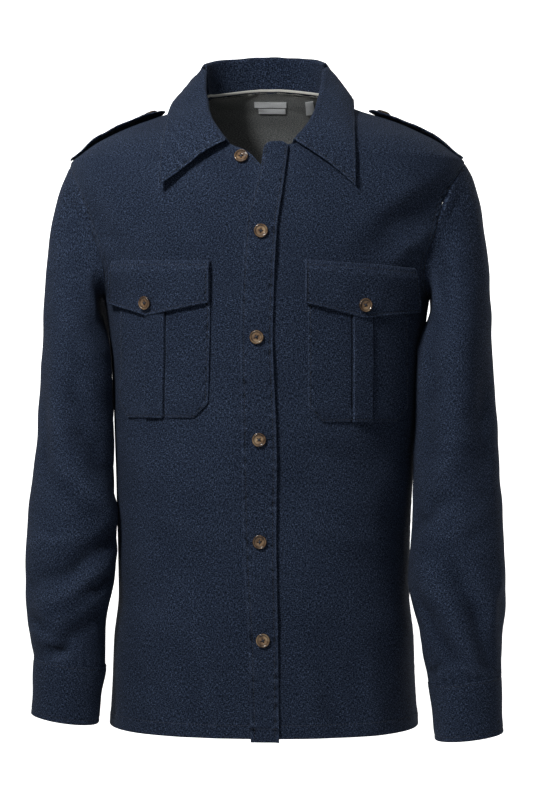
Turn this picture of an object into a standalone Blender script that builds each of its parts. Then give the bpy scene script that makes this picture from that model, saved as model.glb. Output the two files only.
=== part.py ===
"""A denim overshirt, filled out as on a wearer who isn't there: hollow, open at neck, hem and cuffs.

Metres, +Z up. +X is the wearer's left, the front faces -Y. The origin is inside the neck opening,
level with the high point of the shoulders. Every piece of cloth is a wall with a real thickness,
cut as a maker would cut it, and left SEAM away from the piece that it is sewn to.
"""

import bmesh
import bpy
import numpy as np

# Driving dimensions
HEM_Z = -0.717
SEAM = 0.0004
LAP = 0.0008
SHELL = 0.0018
COLLAR_WALL = 0.0021
CUFF_WALL = 0.0024
TRIM_WALL = 0.0020
SIDE_Y = 0.012
SQUARENESS = 2.3
ARMPIT_Z = -0.225
SHOULDER_TIP_Z = -0.068
NECK_POINT_Z = 0.0078
BACK_NECK_Z = 0.0238
BUTTON_RADIUS = 0.0079
BUTTON_HEIGHT = 0.0030
ARM_TOP_Z = -0.290
ARM_CLEARANCE = 0.0036
SLEEVE_POINTS = 24

# Rings of the torso, level by level: half width, and depth before and behind the side seam
BODY = dict(
    z=(-0.717, -0.661, -0.617, -0.566, -0.500, -0.400, -0.300, -0.260, -0.225, -0.205, -0.185, -0.155,
       -0.125, -0.095, -0.068, -0.057, -0.046, -0.035, -0.0235, -0.0145, -0.008, 0.000, 0.008, 0.018, 0.026),
    half_width=(0.179, 0.1755, 0.174, 0.169, 0.170, 0.174, 0.180, 0.184, 0.189, 0.197, 0.206, 0.219,
                0.227, 0.231, 0.229, 0.216, 0.2015, 0.181, 0.156, 0.131, 0.111, 0.090, 0.0709, 0.0575, 0.042),
    front=(0.134, 0.133, 0.132, 0.131, 0.131, 0.134, 0.137, 0.138, 0.139, 0.139, 0.139, 0.138,
           0.135, 0.130, 0.121, 0.116, 0.107, 0.094, 0.078, 0.063, 0.054, 0.042, 0.030, 0.024, 0.020),
    back=(0.119, 0.117, 0.115, 0.113, 0.114, 0.117, 0.120, 0.120, 0.119, 0.118, 0.117, 0.115,
          0.112, 0.108, 0.104, 0.102, 0.099, 0.096, 0.092, 0.088, 0.084, 0.079, 0.073, 0.066, 0.059))

# How far the torso's middle swings to the wearer's right below the chest
LEAN = dict(
    z=(-0.717, -0.500, -0.380, -0.260),
    x=(-0.0037, -0.0037, -0.0018, 0.0))

# Armhole seam: where it crosses each level, before and behind the shoulder line
ARMHOLE = dict(
    z=(-0.225, -0.2235, -0.2195, -0.212, -0.200, -0.183, -0.163, -0.142, -0.121, -0.102, -0.085,
       -0.0745, -0.068),
    front_y=(0.012, -0.014, -0.031, -0.045, -0.056, -0.0625, -0.064, -0.061, -0.057, -0.049, -0.034,
             -0.015, 0.012),
    back_y=(0.012, 0.038, 0.054, 0.066, 0.074, 0.0785, 0.080, 0.079, 0.075, 0.067, 0.053,
            0.036, 0.012))

# Neck seam, from the front ends up to the shoulder and over the back
NECK_FRONT = dict(
    z=(-0.057, -0.046, -0.0355, -0.0250, -0.0140, -0.0045, 0.0078),
    x=(0.034, 0.0445, 0.0530, 0.0595, 0.0645, 0.0675, 0.0690))
NECK_BACK = dict(
    z=(0.0078, 0.0115, 0.0155, 0.019, 0.022, 0.0238),
    x=(0.0709, 0.0655, 0.0560, 0.0430, 0.0270, 0.0120))

# Front band of the lap: its free edge and its sewn edge, by level
BAND = dict(
    z=(-0.717, -0.620, -0.500, -0.400, -0.275, -0.153, -0.108, -0.081, -0.061),
    free=(-0.0100, -0.0125, -0.0185, -0.0200, -0.0210, -0.0155, -0.0050, 0.0010, 0.0035),
    sewn=(0.0215, 0.0205, 0.0185, 0.0190, 0.0150, 0.0195, 0.0255, 0.0290, 0.0310))
BAND_DROP = 0.0035
BAND_TOP_Z = -0.0545
BAND_TOP_ROUNDING = 0.0065
BAND_LAP = 0.0040
STAND_STEP = 0.0012

# Top edge of the under front, where it runs down from the collar below the band
UNDER_TOP = dict(
    z=(-0.104, -0.092, -0.081, -0.066, -0.060, -0.057),
    x=(0.0205, 0.0120, 0.0015, -0.0130, -0.0240, -0.0340))

# Collar, from the back centre (0) to the front end (1): height and lean of the roll, and the edge
COLLAR = dict(
    turn=(0.00, 0.20, 0.35, 0.45, 0.55, 0.70, 0.85, 1.00),
    rise=(0.041, 0.041, 0.038, 0.034, 0.028, 0.017, 0.008, 0.003),
    lean=(0.003, 0.003, 0.001, -0.001, -0.002, -0.001, 0.001, 0.003),
    edge_x=(0.000, 0.050, 0.086, 0.101, 0.105, 0.1075, 0.109, 0.110),
    edge_y=(0.099, 0.093, 0.067, 0.038, 0.002, -0.053, -0.103, -0.1185),
    edge_z=(0.014, 0.014, 0.012, 0.009, 0.005, -0.020, -0.060, -0.105))
COLLAR_SWAY = -0.0035
ROLL_WIDTH = 0.0070
ROLL_CROWN = 0.0022
FALL_CROWN = 0.0030

# Arm rings below the cap: how far out and in each sleeve reaches, and its place front to back
ARM = dict(
    z=(-0.730, -0.675, -0.640, -0.600, -0.545, -0.500, -0.447, -0.362, -0.290),
    left_outer=(0.2700, 0.2685, 0.2690, 0.2715, 0.2755, 0.2725, 0.2695, 0.2645, 0.2598),
    left_inner=(0.1955, 0.1895, 0.1840, 0.1765, 0.1640, 0.1665, 0.1690, 0.1705, 0.1690),
    right_outer=(0.2655, 0.2628, 0.2625, 0.2712, 0.2742, 0.2738, 0.2695, 0.2618, 0.2580),
    right_inner=(0.1905, 0.1865, 0.1815, 0.1825, 0.1725, 0.1685, 0.1675, 0.1725, 0.1725),
    middle_y=(-0.058, -0.055, -0.052, -0.047, -0.040, -0.034, -0.028, -0.022, -0.018),
    half_y=(0.041, 0.044, 0.047, 0.051, 0.0555, 0.0575, 0.059, 0.061, 0.063))
CUFF = dict(
    left=dict(top=-0.6555, bottom=-0.7205, tilt=0.12),
    right=dict(top=-0.6385, bottom=-0.7045, tilt=0.15))
CAP_ROWS = (0.0, 0.05, 0.13, 0.24, 0.37, 0.52, 0.75, 1.0)
ARM_ROWS = 14

# Largest folds. Body folds lie between two places of the front; sleeve folds go by degrees round
# the arm, from its outer side (0) over the front (90) to the body side (180)
BODY_FOLDS = (
    dict(x0=0.200, z0=-0.115, x1=0.130, z1=-0.170, width=0.020, height=-0.0035),
    dict(x0=-0.150, z0=-0.400, x1=-0.060, z1=-0.440, width=0.030, height=0.0020),
    dict(x0=0.060, z0=-0.430, x1=0.155, z1=-0.400, width=0.030, height=-0.0025),
    dict(x0=-0.160, z0=-0.560, x1=-0.040, z1=-0.520, width=0.028, height=-0.0020),
    dict(x0=0.050, z0=-0.560, x1=0.165, z1=-0.600, width=0.026, height=0.0025))
SLEEVE_FOLDS = dict(
    right=(
        dict(turn0=90, z0=-0.285, turn1=104, z1=-0.370, width=0.020, height=-0.0045),
        dict(turn0=108, z0=-0.386, turn1=165, z1=-0.444, width=0.020, height=-0.0055),
        dict(turn0=158, z0=-0.502, turn1=43, z1=-0.546, width=0.018, height=-0.0060),
        dict(turn0=142, z0=-0.590, turn1=50, z1=-0.634, width=0.017, height=-0.0050),
        dict(turn0=-40, z0=-0.470, turn1=-130, z1=-0.430, width=0.020, height=-0.0050),
        dict(turn0=-60, z0=-0.600, turn1=-140, z1=-0.560, width=0.018, height=-0.0045)),
    left=(
        dict(turn0=76, z0=-0.250, turn1=89, z1=-0.379, width=0.022, height=0.0040),
        dict(turn0=89, z0=-0.379, turn1=109, z1=-0.430, width=0.020, height=0.0035),
        dict(turn0=129, z0=-0.532, turn1=69, z1=-0.634, width=0.018, height=0.0050),
        dict(turn0=94, z0=-0.528, turn1=53, z1=-0.645, width=0.016, height=-0.0055),
        dict(turn0=-50, z0=-0.480, turn1=-120, z1=-0.440, width=0.020, height=-0.0050),
        dict(turn0=-45, z0=-0.590, turn1=-130, z1=-0.545, width=0.018, height=-0.0045)))

# Chest pockets and flaps, by the side of the wearer: across from the band side to the arm side
POCKET = dict(
    left=dict(near=0.0530, far=0.1620, low=-0.3665, chamfer=0.016, fold_near=0.1010, fold_far=0.1230),
    right=dict(near=0.0545, far=0.1600, low=-0.3620, chamfer=0.016, fold_near=0.1050, fold_far=0.1270))
POCKET_TOP_Z = -0.2005
POCKET_FOLD_RISE = 0.0014
POCKET_LAP = 0.0010
FLAP = dict(
    left=dict(near=0.0495, far=0.1700, top_near=-0.1870, top_far=-0.1935,
              low_near=-0.2350, low_far=-0.2430, point=0.1130, point_z=-0.2515, far_low=0.1725),
    right=dict(near=0.0550, far=0.1690, top_near=-0.1870, top_far=-0.1845,
               low_near=-0.2345, low_far=-0.2320, point=0.1250, point_z=-0.2480, far_low=0.1710))
FLAP_RISE = 0.0048
FLAP_BUTTON_UP = 0.0150

# Shoulder tabs, and how far each one's free end stands off the shoulder
TAB = dict(
    left=dict(tip=0.1160, lift=0.0030),
    right=dict(tip=0.1160, lift=0.0050))
TAB_ROOT_X = 0.2250
TAB_ROOT_WIDTH = 0.044
TAB_TIP_WIDTH = 0.036
TAB_POINT = 0.012
TAB_LIFT_FROM_X = 0.222
TAB_LIFT_REACH = 0.034

# Buttons down the front, by level, and the open one at the neck
FRONT_BUTTON_Z = (-0.1555, -0.2725, -0.3860, -0.4990, -0.6080)
TOP_BUTTON = dict(x=-0.0215, z=-0.0715)

# Neck trims, all inside the back
TAPE_HEIGHT = 0.0030
TAPE_WALL = 0.0011
LABELS = (
    dict(name="neck_label", x0=-0.0198, x1=0.0195, low=0.0088, high=0.0149),
    dict(name="care_label", x0=-0.0150, x1=0.0180, low=0.0022, high=0.0076),
    dict(name="size_tab", x0=0.0430, x1=0.0530, low=0.0000, high=0.0130))
LABEL_WALL = 0.0010


# Curves and frames

def curve(table, column, at):
    """A smooth value through a table's rows, level by level, which never overshoots them."""
    keys = np.array(next(iter(table.values())), float)
    values = np.array(table[column], float)
    steps = np.diff(keys)
    slopes = np.diff(values) / steps
    bends = slopes[:-1] * slopes[1:]
    tangents = np.concatenate(([slopes[0]], np.zeros(len(bends)), [slopes[-1]]))
    same_way = bends > 0
    sums = np.where(same_way, slopes[:-1] + slopes[1:], 1.0)
    tangents[1:-1] = np.where(same_way, 2 * bends / sums, 0.0)
    at = np.clip(np.asarray(at, float), keys[0], keys[-1])
    i = np.clip(np.searchsorted(keys, at, side="right") - 1, 0, len(keys) - 2)
    t = (at - keys[i]) / steps[i]
    start = values[i] * (2 * t**3 - 3 * t**2 + 1) + tangents[i] * steps[i] * (t**3 - 2 * t**2 + t)
    end = values[i + 1] * (3 * t**2 - 2 * t**3) + tangents[i + 1] * steps[i] * (t**3 - t**2)
    return start + end


def unit(vectors):
    return vectors / np.maximum(np.linalg.norm(vectors, axis=-1, keepdims=True), 1e-12)


def bump(along, across, fold):
    """A soft ridge or trough between a fold's two ends, in the plane of along and across."""
    start = np.array((fold[0], fold[1]))
    reach = np.array((fold[2], fold[3])) - start
    u = along - start[0]
    v = across - start[1]
    t = np.clip((u * reach[0] + v * reach[1]) / (reach @ reach), 0, 1)
    gap = np.hypot(u - t * reach[0], v - t * reach[1])
    return fold[5] * np.exp(-(gap / fold[4]) ** 2)


# The torso's form

def ring(angle, z):
    """The bare torso: angle 0 is the front centre, a right angle the wearer's left side."""
    power = 2 / SQUARENESS
    width = curve(BODY, "half_width", z)
    depth = np.where(np.cos(angle) > 0, curve(BODY, "front", z), curve(BODY, "back", z))
    sine = np.sin(angle)
    cosine = np.cos(angle)
    x = curve(LEAN, "x", z) + width * np.sign(sine) * np.abs(sine) ** power
    y = SIDE_Y - depth * np.sign(cosine) * np.abs(cosine) ** power
    return np.stack(np.broadcast_arrays(x, y, z), axis=-1)


def normal_of(surface, angle, z):
    turn = 2e-3
    step = 5e-4
    across = surface(angle + turn, z) - surface(angle - turn, z)
    upward = surface(angle, z + step) - surface(angle, z - step)
    return unit(np.cross(across, upward))


def body(angle, z):
    """The torso with its folds."""
    points = ring(angle, z)
    height = 0.0
    for fold in BODY_FOLDS:
        height = height + bump(points[..., 0], points[..., 2], tuple(fold.values()))
    height = height * (np.cos(angle) > 0)
    return points + normal_of(ring, angle, z) * np.asarray(height)[..., None]


def lay(angle, z, out=0.0):
    """A point of the torso moved out along its normal."""
    out = np.asarray(out, float)
    return body(angle, z) + normal_of(body, angle, z) * out[..., None]


def angle_at_x(x, z, behind=False):
    x = x - curve(LEAN, "x", z)
    share = np.clip(np.abs(x) / curve(BODY, "half_width", z), 0, 1)
    angle = np.arcsin(share ** (SQUARENESS / 2))
    if behind:
        angle = np.pi - angle
    return np.sign(x) * angle if not behind else np.where(np.asarray(x) < 0, -angle, angle)


def angle_at_y(y, z):
    """The angle on the wearer's left side where the ring crosses y."""
    ahead = np.asarray(y) < SIDE_Y
    depth = np.where(ahead, curve(BODY, "front", z), curve(BODY, "back", z))
    share = np.clip(np.abs(y - SIDE_Y) / depth, 0, 1)
    angle = np.arccos(share ** (SQUARENESS / 2))
    return np.where(ahead, angle, np.pi - angle)


def side_angle(z, behind):
    """Where a panel ends at its side: side seam, armhole, then shoulder seam."""
    seam_y = SIDE_Y + (SEAM / 2 if behind else -SEAM / 2)
    if ARMPIT_Z < z < SHOULDER_TIP_Z:
        seam_y = curve(ARMHOLE, "back_y" if behind else "front_y", z)
    return float(angle_at_y(seam_y, z))


def shoulder_z(x, y):
    """The height of the shoulder above a place, found by halving."""
    low = np.full(np.shape(x), -0.160)
    high = np.full(np.shape(x), 0.020)
    for _ in range(40):
        middle = (low + high) / 2
        depth = np.where(y < SIDE_Y, curve(BODY, "front", middle), curve(BODY, "back", middle))
        width = curve(BODY, "half_width", middle)
        inside = (np.abs(x) / width) ** SQUARENESS + (np.abs(y - SIDE_Y) / depth) ** SQUARENESS < 1
        low = np.where(inside, middle, low)
        high = np.where(inside, high, middle)
    return (low + high) / 2


# Solids

def material(name, colour, roughness):
    made = bpy.data.materials.new(name)
    made.use_nodes = True
    shader = made.node_tree.nodes["Principled BSDF"]
    shader.inputs["Base Color"].default_value = (*colour, 1.0)
    shader.inputs["Roughness"].default_value = roughness
    shader.inputs["Metallic"].default_value = 0.0
    return made


def add_solid(name, vertices, faces, finish):
    mesh = bpy.data.meshes.new(name)
    mesh.from_pydata([tuple(map(float, v)) for v in vertices], [], faces)
    shape = bmesh.new()
    shape.from_mesh(mesh)
    bmesh.ops.recalc_face_normals(shape, faces=shape.faces)
    shape.to_mesh(mesh)
    shape.free()
    mesh.shade_smooth()
    mesh.set_sharp_from_angle(angle=0.7)
    mesh.materials.append(finish)
    made = bpy.data.objects.new(name, mesh)
    bpy.context.scene.collection.objects.link(made)
    return made


def add_wall(name, outer, inner, finish, closed=False):
    """A closed wall between two grids of points; closed joins the last column to the first."""
    rows, columns = outer.shape[:2]
    count = rows * columns
    vertices = np.concatenate((outer.reshape(-1, 3), inner.reshape(-1, 3)))
    last = columns if closed else columns - 1
    faces = []
    for r in range(rows - 1):
        for c in range(last):
            d = (c + 1) % columns
            a, b, e, f = r * columns + c, r * columns + d, (r + 1) * columns + d, (r + 1) * columns + c
            faces += [(a, b, e), (a, e, f), (count + a, count + e, count + b),
                      (count + a, count + f, count + e)]
    for r in (0, rows - 1):
        for c in range(last):
            a, b = r * columns + c, r * columns + (c + 1) % columns
            faces.append((a, b, count + b, count + a))
    if not closed:
        for c in (0, columns - 1):
            for r in range(rows - 1):
                a, b = r * columns + c, (r + 1) * columns + c
                faces.append((a, b, count + b, count + a))
    return add_solid(name, vertices, faces, finish)


def grid_normals(grid, closed=False):
    """Normals of a grid of points, facing along columns x rows."""
    along = np.gradient(grid, axis=0)
    if closed:
        across = np.roll(grid, -1, axis=1) - np.roll(grid, 1, axis=1)
    else:
        across = np.gradient(grid, axis=1)
    return unit(np.cross(across, along))


# Panels

def levels():
    """Rows of the panels: even down the body, and on every row of the armhole and the neck."""
    below = np.concatenate(([HEM_Z, -0.700], np.linspace(-0.665, -0.262, 10), [-0.241]))
    above = [-0.0625, *NECK_FRONT["z"]]
    return np.concatenate((below, ARMHOLE["z"], above))


def front_panel(side):
    """Outer and inner points of one front; side is +1 for the wearer's left."""
    columns = 10
    outer = []
    inner = []
    for z in levels():
        near = neck_or_band_x(z, side)
        start = side * angle_at_x(near, z)
        end = side_angle(z, behind=False)
        angle = side * np.linspace(start, end, columns)
        outer.append(lay(angle, z))
        inner.append(lay(angle, z, np.full(columns, -SHELL)))
    return np.array(outer), np.array(inner)


def neck_or_band_x(z, side):
    """The edge of a front nearest the middle, as a signed place across the body."""
    if z > NECK_FRONT["z"][0] - 1e-6:
        return side * float(curve(NECK_FRONT, "x", z))
    if side > 0:
        under_band = float(curve(BAND, "sewn", z)) - BAND_LAP
        return min(under_band, NECK_FRONT["x"][0] - 0.004)
    if z > UNDER_TOP["z"][0]:
        return float(curve(UNDER_TOP, "x", z))
    return float(curve(BAND, "sewn", z)) - BAND_LAP - STAND_STEP


def back_panel():
    columns = 17
    rows = [z for z in levels() if z <= NECK_POINT_Z] + list(NECK_BACK["z"][1:])
    outer = []
    inner = []
    for z in rows:
        if z > NECK_POINT_Z + 1e-6:
            end = float(angle_at_x(curve(NECK_BACK, "x", z), z, behind=True))
        else:
            end = side_angle(z, behind=True)
        angle = np.linspace(2 * np.pi - end, end, columns)
        outer.append(lay(angle, z))
        inner.append(lay(angle, z, np.full(columns, -SHELL)))
    return np.array(outer), np.array(inner)


# Sleeves

def armhole_loop():
    """The armhole of the wearer's left: top, down the front, bottom, up the back."""
    heights = np.array(ARMHOLE["z"])
    down = heights[::-1]
    front = angle_at_y(np.array(ARMHOLE["front_y"])[::-1], down)
    back = angle_at_y(np.array(ARMHOLE["back_y"])[1:-1], heights[1:-1])
    angle = np.concatenate((front, back))
    z = np.concatenate((down, heights[1:-1]))
    points = lay(angle, z)
    normals = normal_of(body, angle, z)
    tangents = unit(np.roll(points, -1, axis=0) - np.roll(points, 1, axis=0))
    outward = unit(np.cross(normals, tangents))
    return points, normals, outward


def clear_of_body(points, clearance, side):
    """Push points of an arm, made on the wearer's left, out of the torso's rings."""
    y, z = points[..., 1] - SIDE_Y, points[..., 2]
    lean = side * curve(LEAN, "x", z)
    x = points[..., 0] - lean
    width = curve(BODY, "half_width", z) + clearance
    depth = np.where(y < 0, curve(BODY, "front", z), curve(BODY, "back", z)) + clearance
    inside = (np.abs(x) / width) ** SQUARENESS + (np.abs(y) / depth) ** SQUARENESS
    grow = np.where(inside < 1, np.maximum(inside, 1e-6) ** (-1 / SQUARENESS), 1.0)
    return np.stack((x * grow + lean, y * grow + SIDE_Y, z), axis=-1)


def arm_ring(name, level, tilt):
    """One ring of a sleeve on the wearer's left, starting at its outer side and going to the front."""
    turn = np.arange(SLEEVE_POINTS) * 2 * np.pi / SLEEVE_POINTS
    outer = curve(ARM, name + "_outer", level)
    inner = curve(ARM, name + "_inner", level)
    x = (outer + inner) / 2 + (outer - inner) / 2 * np.cos(turn)
    y = curve(ARM, "middle_y", level) - curve(ARM, "half_y", level) * np.sin(turn)
    z = level + tilt * (x - (outer + inner) / 2)
    return np.stack((x, y, z), axis=-1)


def sleeve_grid(name):
    """Outer points of a sleeve, made on the wearer's left: cap rows, then arm rows."""
    loop, _, outward = armhole_loop()
    side = 1 if name == "left" else -1
    cuff = CUFF[name]
    target = arm_ring(name, ARM_TOP_Z, 0.0)
    topness = (1 + np.cos(np.arange(SLEEVE_POINTS) * 2 * np.pi / SLEEVE_POINTS))[:, None] / 2
    aside = np.array((1.0, 0.0, 0.0))
    down = np.array((0.0, 0.0, -1.0))
    start = unit((0.4 + 0.6 * topness) * outward + (0.9 - 0.3 * topness) * aside
                 + 0.35 * (1 - topness) * down)
    chord = np.linalg.norm(target - loop, axis=-1, keepdims=True)
    start = start * chord * (0.8 - 0.2 * topness)
    rows = []
    for t in CAP_ROWS:
        point = (loop * (2 * t**3 - 3 * t**2 + 1) + start * (t**3 - 2 * t**2 + t)
                 + target * (3 * t**2 - 2 * t**3) + down * 0.8 * chord * (t**3 - t**2))
        clearance = ARM_CLEARANCE * min(1.0, 10 * t)
        rows.append(loop + outward * SEAM if t == 0 else clear_of_body(point, clearance, side))
    for t in np.linspace(0, 1, ARM_ROWS)[1:]:
        level = ARM_TOP_Z + t * (cuff["top"] - ARM_TOP_Z)
        points = arm_ring(name, level, cuff["tilt"] * t**2)
        rows.append(clear_of_body(points, ARM_CLEARANCE, side))
    return fold_sleeve(np.array(rows), name)


def fold_sleeve(grid, name):
    """Raise or sink the sleeve's folds; ends of the sleeve stay as they are."""
    turn = np.degrees(np.arange(SLEEVE_POINTS) * 2 * np.pi / SLEEVE_POINTS)
    turn = (turn + 180) % 360 - 180
    girth = 0.0009
    height = np.zeros(grid.shape[:2])
    for fold in SLEEVE_FOLDS[name]:
        ends = (fold["turn0"] * girth, fold["z0"], fold["turn1"] * girth, fold["z1"])
        height += bump(turn[None, :] * girth, grid[..., 2], (*ends, fold["width"], fold["height"]))
    rows = np.arange(len(grid))
    height *= np.clip(np.minimum(rows - 2, len(grid) - 1 - rows) / 2, 0, 1)[:, None]
    folded = grid + grid_normals(grid, closed=True) * height[..., None]
    folded[1:] = clear_of_body(folded[1:], ARM_CLEARANCE * 0.7, 1 if name == "left" else -1)
    return folded


def sleeve(name):
    """Outer and inner points; the wall at the armhole turns so that it clears the panel's edge."""
    outer = sleeve_grid(name)
    _, _, outward = armhole_loop()
    inward = -grid_normals(outer, closed=True)
    back = np.minimum(np.sum(inward[0] * outward, axis=-1, keepdims=True), 0)
    inward[0] = unit(inward[0] - back * outward)
    return outer, outer + inward * SHELL


def mirror(grid, side):
    return grid * np.array((side, 1.0, 1.0))


def cuff_walls(name):
    side = 1 if name == "left" else -1
    cuff = CUFF[name]
    outer = []
    inner = []
    for t in (0.0, 0.45, 0.9, 1.0):
        top = cuff["top"] - SEAM
        level = top + t * (cuff["bottom"] - top)
        points = clear_of_body(arm_ring(name, level, cuff["tilt"]), ARM_CLEARANCE, side)
        middle = points.mean(axis=0)
        spread = unit((points - middle) * np.array((1.0, 1.0, 0.0)))
        outer.append(points + spread * 0.0006)
        inner.append(points - spread * (CUFF_WALL - 0.0006))
    return np.array(outer), np.array(inner)


# Collar

def neck_stations():
    """The neck seam from the wearer's left front end over the back to the right one."""
    front_z = np.array(NECK_FRONT["z"])
    back_z = np.array(NECK_BACK["z"])
    angle = np.concatenate((angle_at_x(np.array(NECK_FRONT["x"]), front_z),
                            angle_at_x(np.array(NECK_BACK["x"]), back_z, behind=True), [np.pi]))
    z = np.concatenate((front_z, back_z, [BACK_NECK_Z]))
    points = lay(angle, z)
    normals = normal_of(body, angle, z)
    points = np.concatenate((points, mirror(points[-2::-1], -1)))
    normals = np.concatenate((normals, mirror(normals[-2::-1], -1)))
    return points, normals


def collar_frames():
    """For each station of the neck seam: its place, outward direction, and turn from the back."""
    points, normals = neck_stations()
    tangents = unit(np.gradient(points, axis=0))
    flat = unit(tangents * np.array((1.0, 1.0, 0.0)))
    outward = np.stack((flat[:, 1], -flat[:, 0], np.zeros(len(flat))), axis=-1)
    inner_edge = unit(np.cross(normals, tangents))
    seat = points + normals * LAP + inner_edge * SEAM
    reach = np.concatenate(([0.0], np.cumsum(np.linalg.norm(np.diff(points, axis=0), axis=-1))))
    turn = np.abs(reach / reach[-1] - 0.5) * 2
    return seat, outward, turn


def collar_walls():
    seat, outward, turn = collar_frames()
    sides = np.sign(seat[:, 0])
    sides[len(seat) // 2] = 0.0
    up = np.array((0.0, 0.0, 1.0))
    rise = curve(COLLAR, "rise", turn)[:, None]
    lean = curve(COLLAR, "lean", turn)[:, None]
    sway = np.array((COLLAR_SWAY, 0.0, 0.0))
    roll = seat + up * rise + outward * lean + sway * rise / COLLAR["rise"][0]
    edge = np.stack((curve(COLLAR, "edge_x", turn) * sides, curve(COLLAR, "edge_y", turn),
                     curve(COLLAR, "edge_z", turn)), axis=-1)
    edge = edge + sway
    start = roll + outward * ROLL_WIDTH
    rows = [seat, seat + (roll - seat) * 0.5, roll,
            roll + outward * ROLL_WIDTH / 2 + up * ROLL_CROWN, start]
    away = unit(outward + up)
    for t in (0.22, 0.48, 0.75, 1.0):
        rows.append(start + (edge - start) * t + away * FALL_CROWN * 4 * t * (1 - t))
    outer = np.array(rows)
    inner = outer + grid_normals(outer) * COLLAR_WALL
    inner[0] = seat + outward * COLLAR_WALL
    return outer, inner


# Band, pockets, flaps and shoulder tabs

def band_walls():
    rows = 24
    outer = []
    inner = []
    for t in 1 - np.linspace(1, 0, rows) ** 1.4:
        across = np.linspace(0, 1, 5)
        corner = 2 * across - 1
        top = BAND_TOP_Z - BAND_TOP_ROUNDING * corner**4
        low = HEM_Z - BAND_DROP
        z = low + t * (top - low)
        x = curve(BAND, "free", z) * (1 - across) + curve(BAND, "sewn", z) * across
        angle = angle_at_x(x, z)
        outer.append(lay(angle, z, np.full(5, LAP + TRIM_WALL)))
        inner.append(lay(angle, z, np.full(5, LAP)))
    return np.array(outer), np.array(inner)


def pocket_walls(name):
    side = 1 if name == "left" else -1
    shape = POCKET[name]
    across = np.array((0.0, 0.16, 0.32, 0.46, 0.48, 0.57, 0.66, 0.68, 0.80, 0.91, 1.0))
    fold_from, fold_to = 3, 7
    outer = []
    inner = []
    for t in (0.0, 0.10, 0.28, 0.46, 0.64, 0.82, 1.0):
        cut = shape["chamfer"] * max(0.0, 1 - t / 0.10)
        near = shape["near"] + cut
        far = shape["far"] - cut * 0.7
        x = near + (far - near) * across
        x[fold_from] = shape["fold_near"] - 0.0008
        x[fold_from + 1] = shape["fold_near"]
        x[fold_to - 1] = shape["fold_far"]
        x[fold_to] = shape["fold_far"] + 0.0008
        x[fold_from + 2] = (shape["fold_near"] + shape["fold_far"]) / 2
        z = shape["low"] + t * (POCKET_TOP_Z - shape["low"])
        rise = np.zeros(len(across))
        rise[fold_from + 1:fold_to] = POCKET_FOLD_RISE
        angle = side * angle_at_x(x, z)
        outer.append(lay(angle, z, POCKET_LAP + SHELL + rise))
        inner.append(lay(angle, z, np.full(len(across), POCKET_LAP)))
    return np.array(outer), np.array(inner)


def flap_place(name, u, v):
    """A place of a flap: u from the band side to the arm side, v from its point up to its seam."""
    shape = FLAP[name]
    middle = (shape["point"] - shape["near"]) / (shape["far_low"] - shape["near"])
    low = np.interp(u, (0.0, middle, 1.0), (shape["low_near"], shape["point_z"], shape["low_far"]))
    high = shape["top_near"] + (shape["top_far"] - shape["top_near"]) * u
    far = shape["far_low"] + (shape["far"] - shape["far_low"]) * v
    x = shape["near"] + (far - shape["near"]) * u
    return x, low + (high - low) * v


def flap_rise(v):
    """How far a flap's under side stands off the chest, over the pocket's mouth and fold."""
    return LAP + FLAP_RISE * np.clip((1 - v) / 0.18, 0, 1)


def flap_walls(name):
    side = 1 if name == "left" else -1
    outer = []
    inner = []
    for v in (0.0, 0.28, 0.55, 0.82, 0.91, 1.0):
        u = np.linspace(0, 1, 9)
        x, z = flap_place(name, u, v)
        angle = side * angle_at_x(x, z)
        under = flap_rise(v)
        outer.append(lay(angle, z, np.full(len(u), under + TRIM_WALL)))
        inner.append(lay(angle, z, np.full(len(u), under)))
    return np.array(outer), np.array(inner)


def tab_place(name, u, v, out):
    """A place over a shoulder tab: u from its root to its tip, v across from front to back."""
    shape = TAB[name]
    half = (TAB_ROOT_WIDTH + (TAB_TIP_WIDTH - TAB_ROOT_WIDTH) * u) / 2
    point = TAB_POINT * (1 - np.abs(v))
    x = TAB_ROOT_X + (shape["tip"] + TAB_POINT - TAB_ROOT_X) * u - point * u
    y = SIDE_Y - 0.004 + half * v
    flat = np.stack((x, y, shoulder_z(x, y)), axis=-1)
    step = 0.001
    slope_x = (shoulder_z(x + step, y) - shoulder_z(x - step, y)) / (2 * step)
    slope_y = (shoulder_z(x, y + step) - shoulder_z(x, y - step)) / (2 * step)
    normal = unit(np.stack((-slope_x, -slope_y, np.ones_like(x)), axis=-1))
    t = np.clip((TAB_LIFT_FROM_X - x) / TAB_LIFT_REACH, 0, 1)
    lift = shape["lift"] * (3 * t**2 - 2 * t**3) * (0.55 - 0.45 * v)
    side = 1 if name == "left" else -1
    return mirror(flat + normal * (out + lift)[..., None], side)


def tab_walls(name):
    outer = []
    inner = []
    for u in np.linspace(0, 1, 9):
        v = np.linspace(-1, 1, 7)
        along = np.full(len(v), u)
        outer.append(tab_place(name, along, v, np.full(len(v), LAP + TRIM_WALL)))
        inner.append(tab_place(name, along, v, np.full(len(v), LAP)))
    return np.array(outer), np.array(inner)


def tab_button_seat(name):
    """The middle of a tab's button, near its point, and the way it faces."""
    u = np.array((0.84, 0.80, 0.88, 0.84, 0.84))
    v = np.array((0.0, 0.0, 0.0, -0.1, 0.1))
    seat, before, after, front, back = tab_place(name, u, v, np.full(5, LAP + TRIM_WALL))
    face = unit(np.cross(after - before, back - front))
    return seat, face * np.sign(face[2])


# Neck trims

def tape_walls():
    """The narrow tape over the back neck seam, on the neck side of the collar's foot."""
    seat, outward, turn = collar_frames()
    keep = turn < 0.37
    seat = seat[keep] - outward[keep] * LAP
    up = np.array((0.0, 0.0, TAPE_HEIGHT))
    near = np.array((seat + up * 0.15, seat + up * 1.15))
    return near - outward[keep] * TAPE_WALL, near


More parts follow.
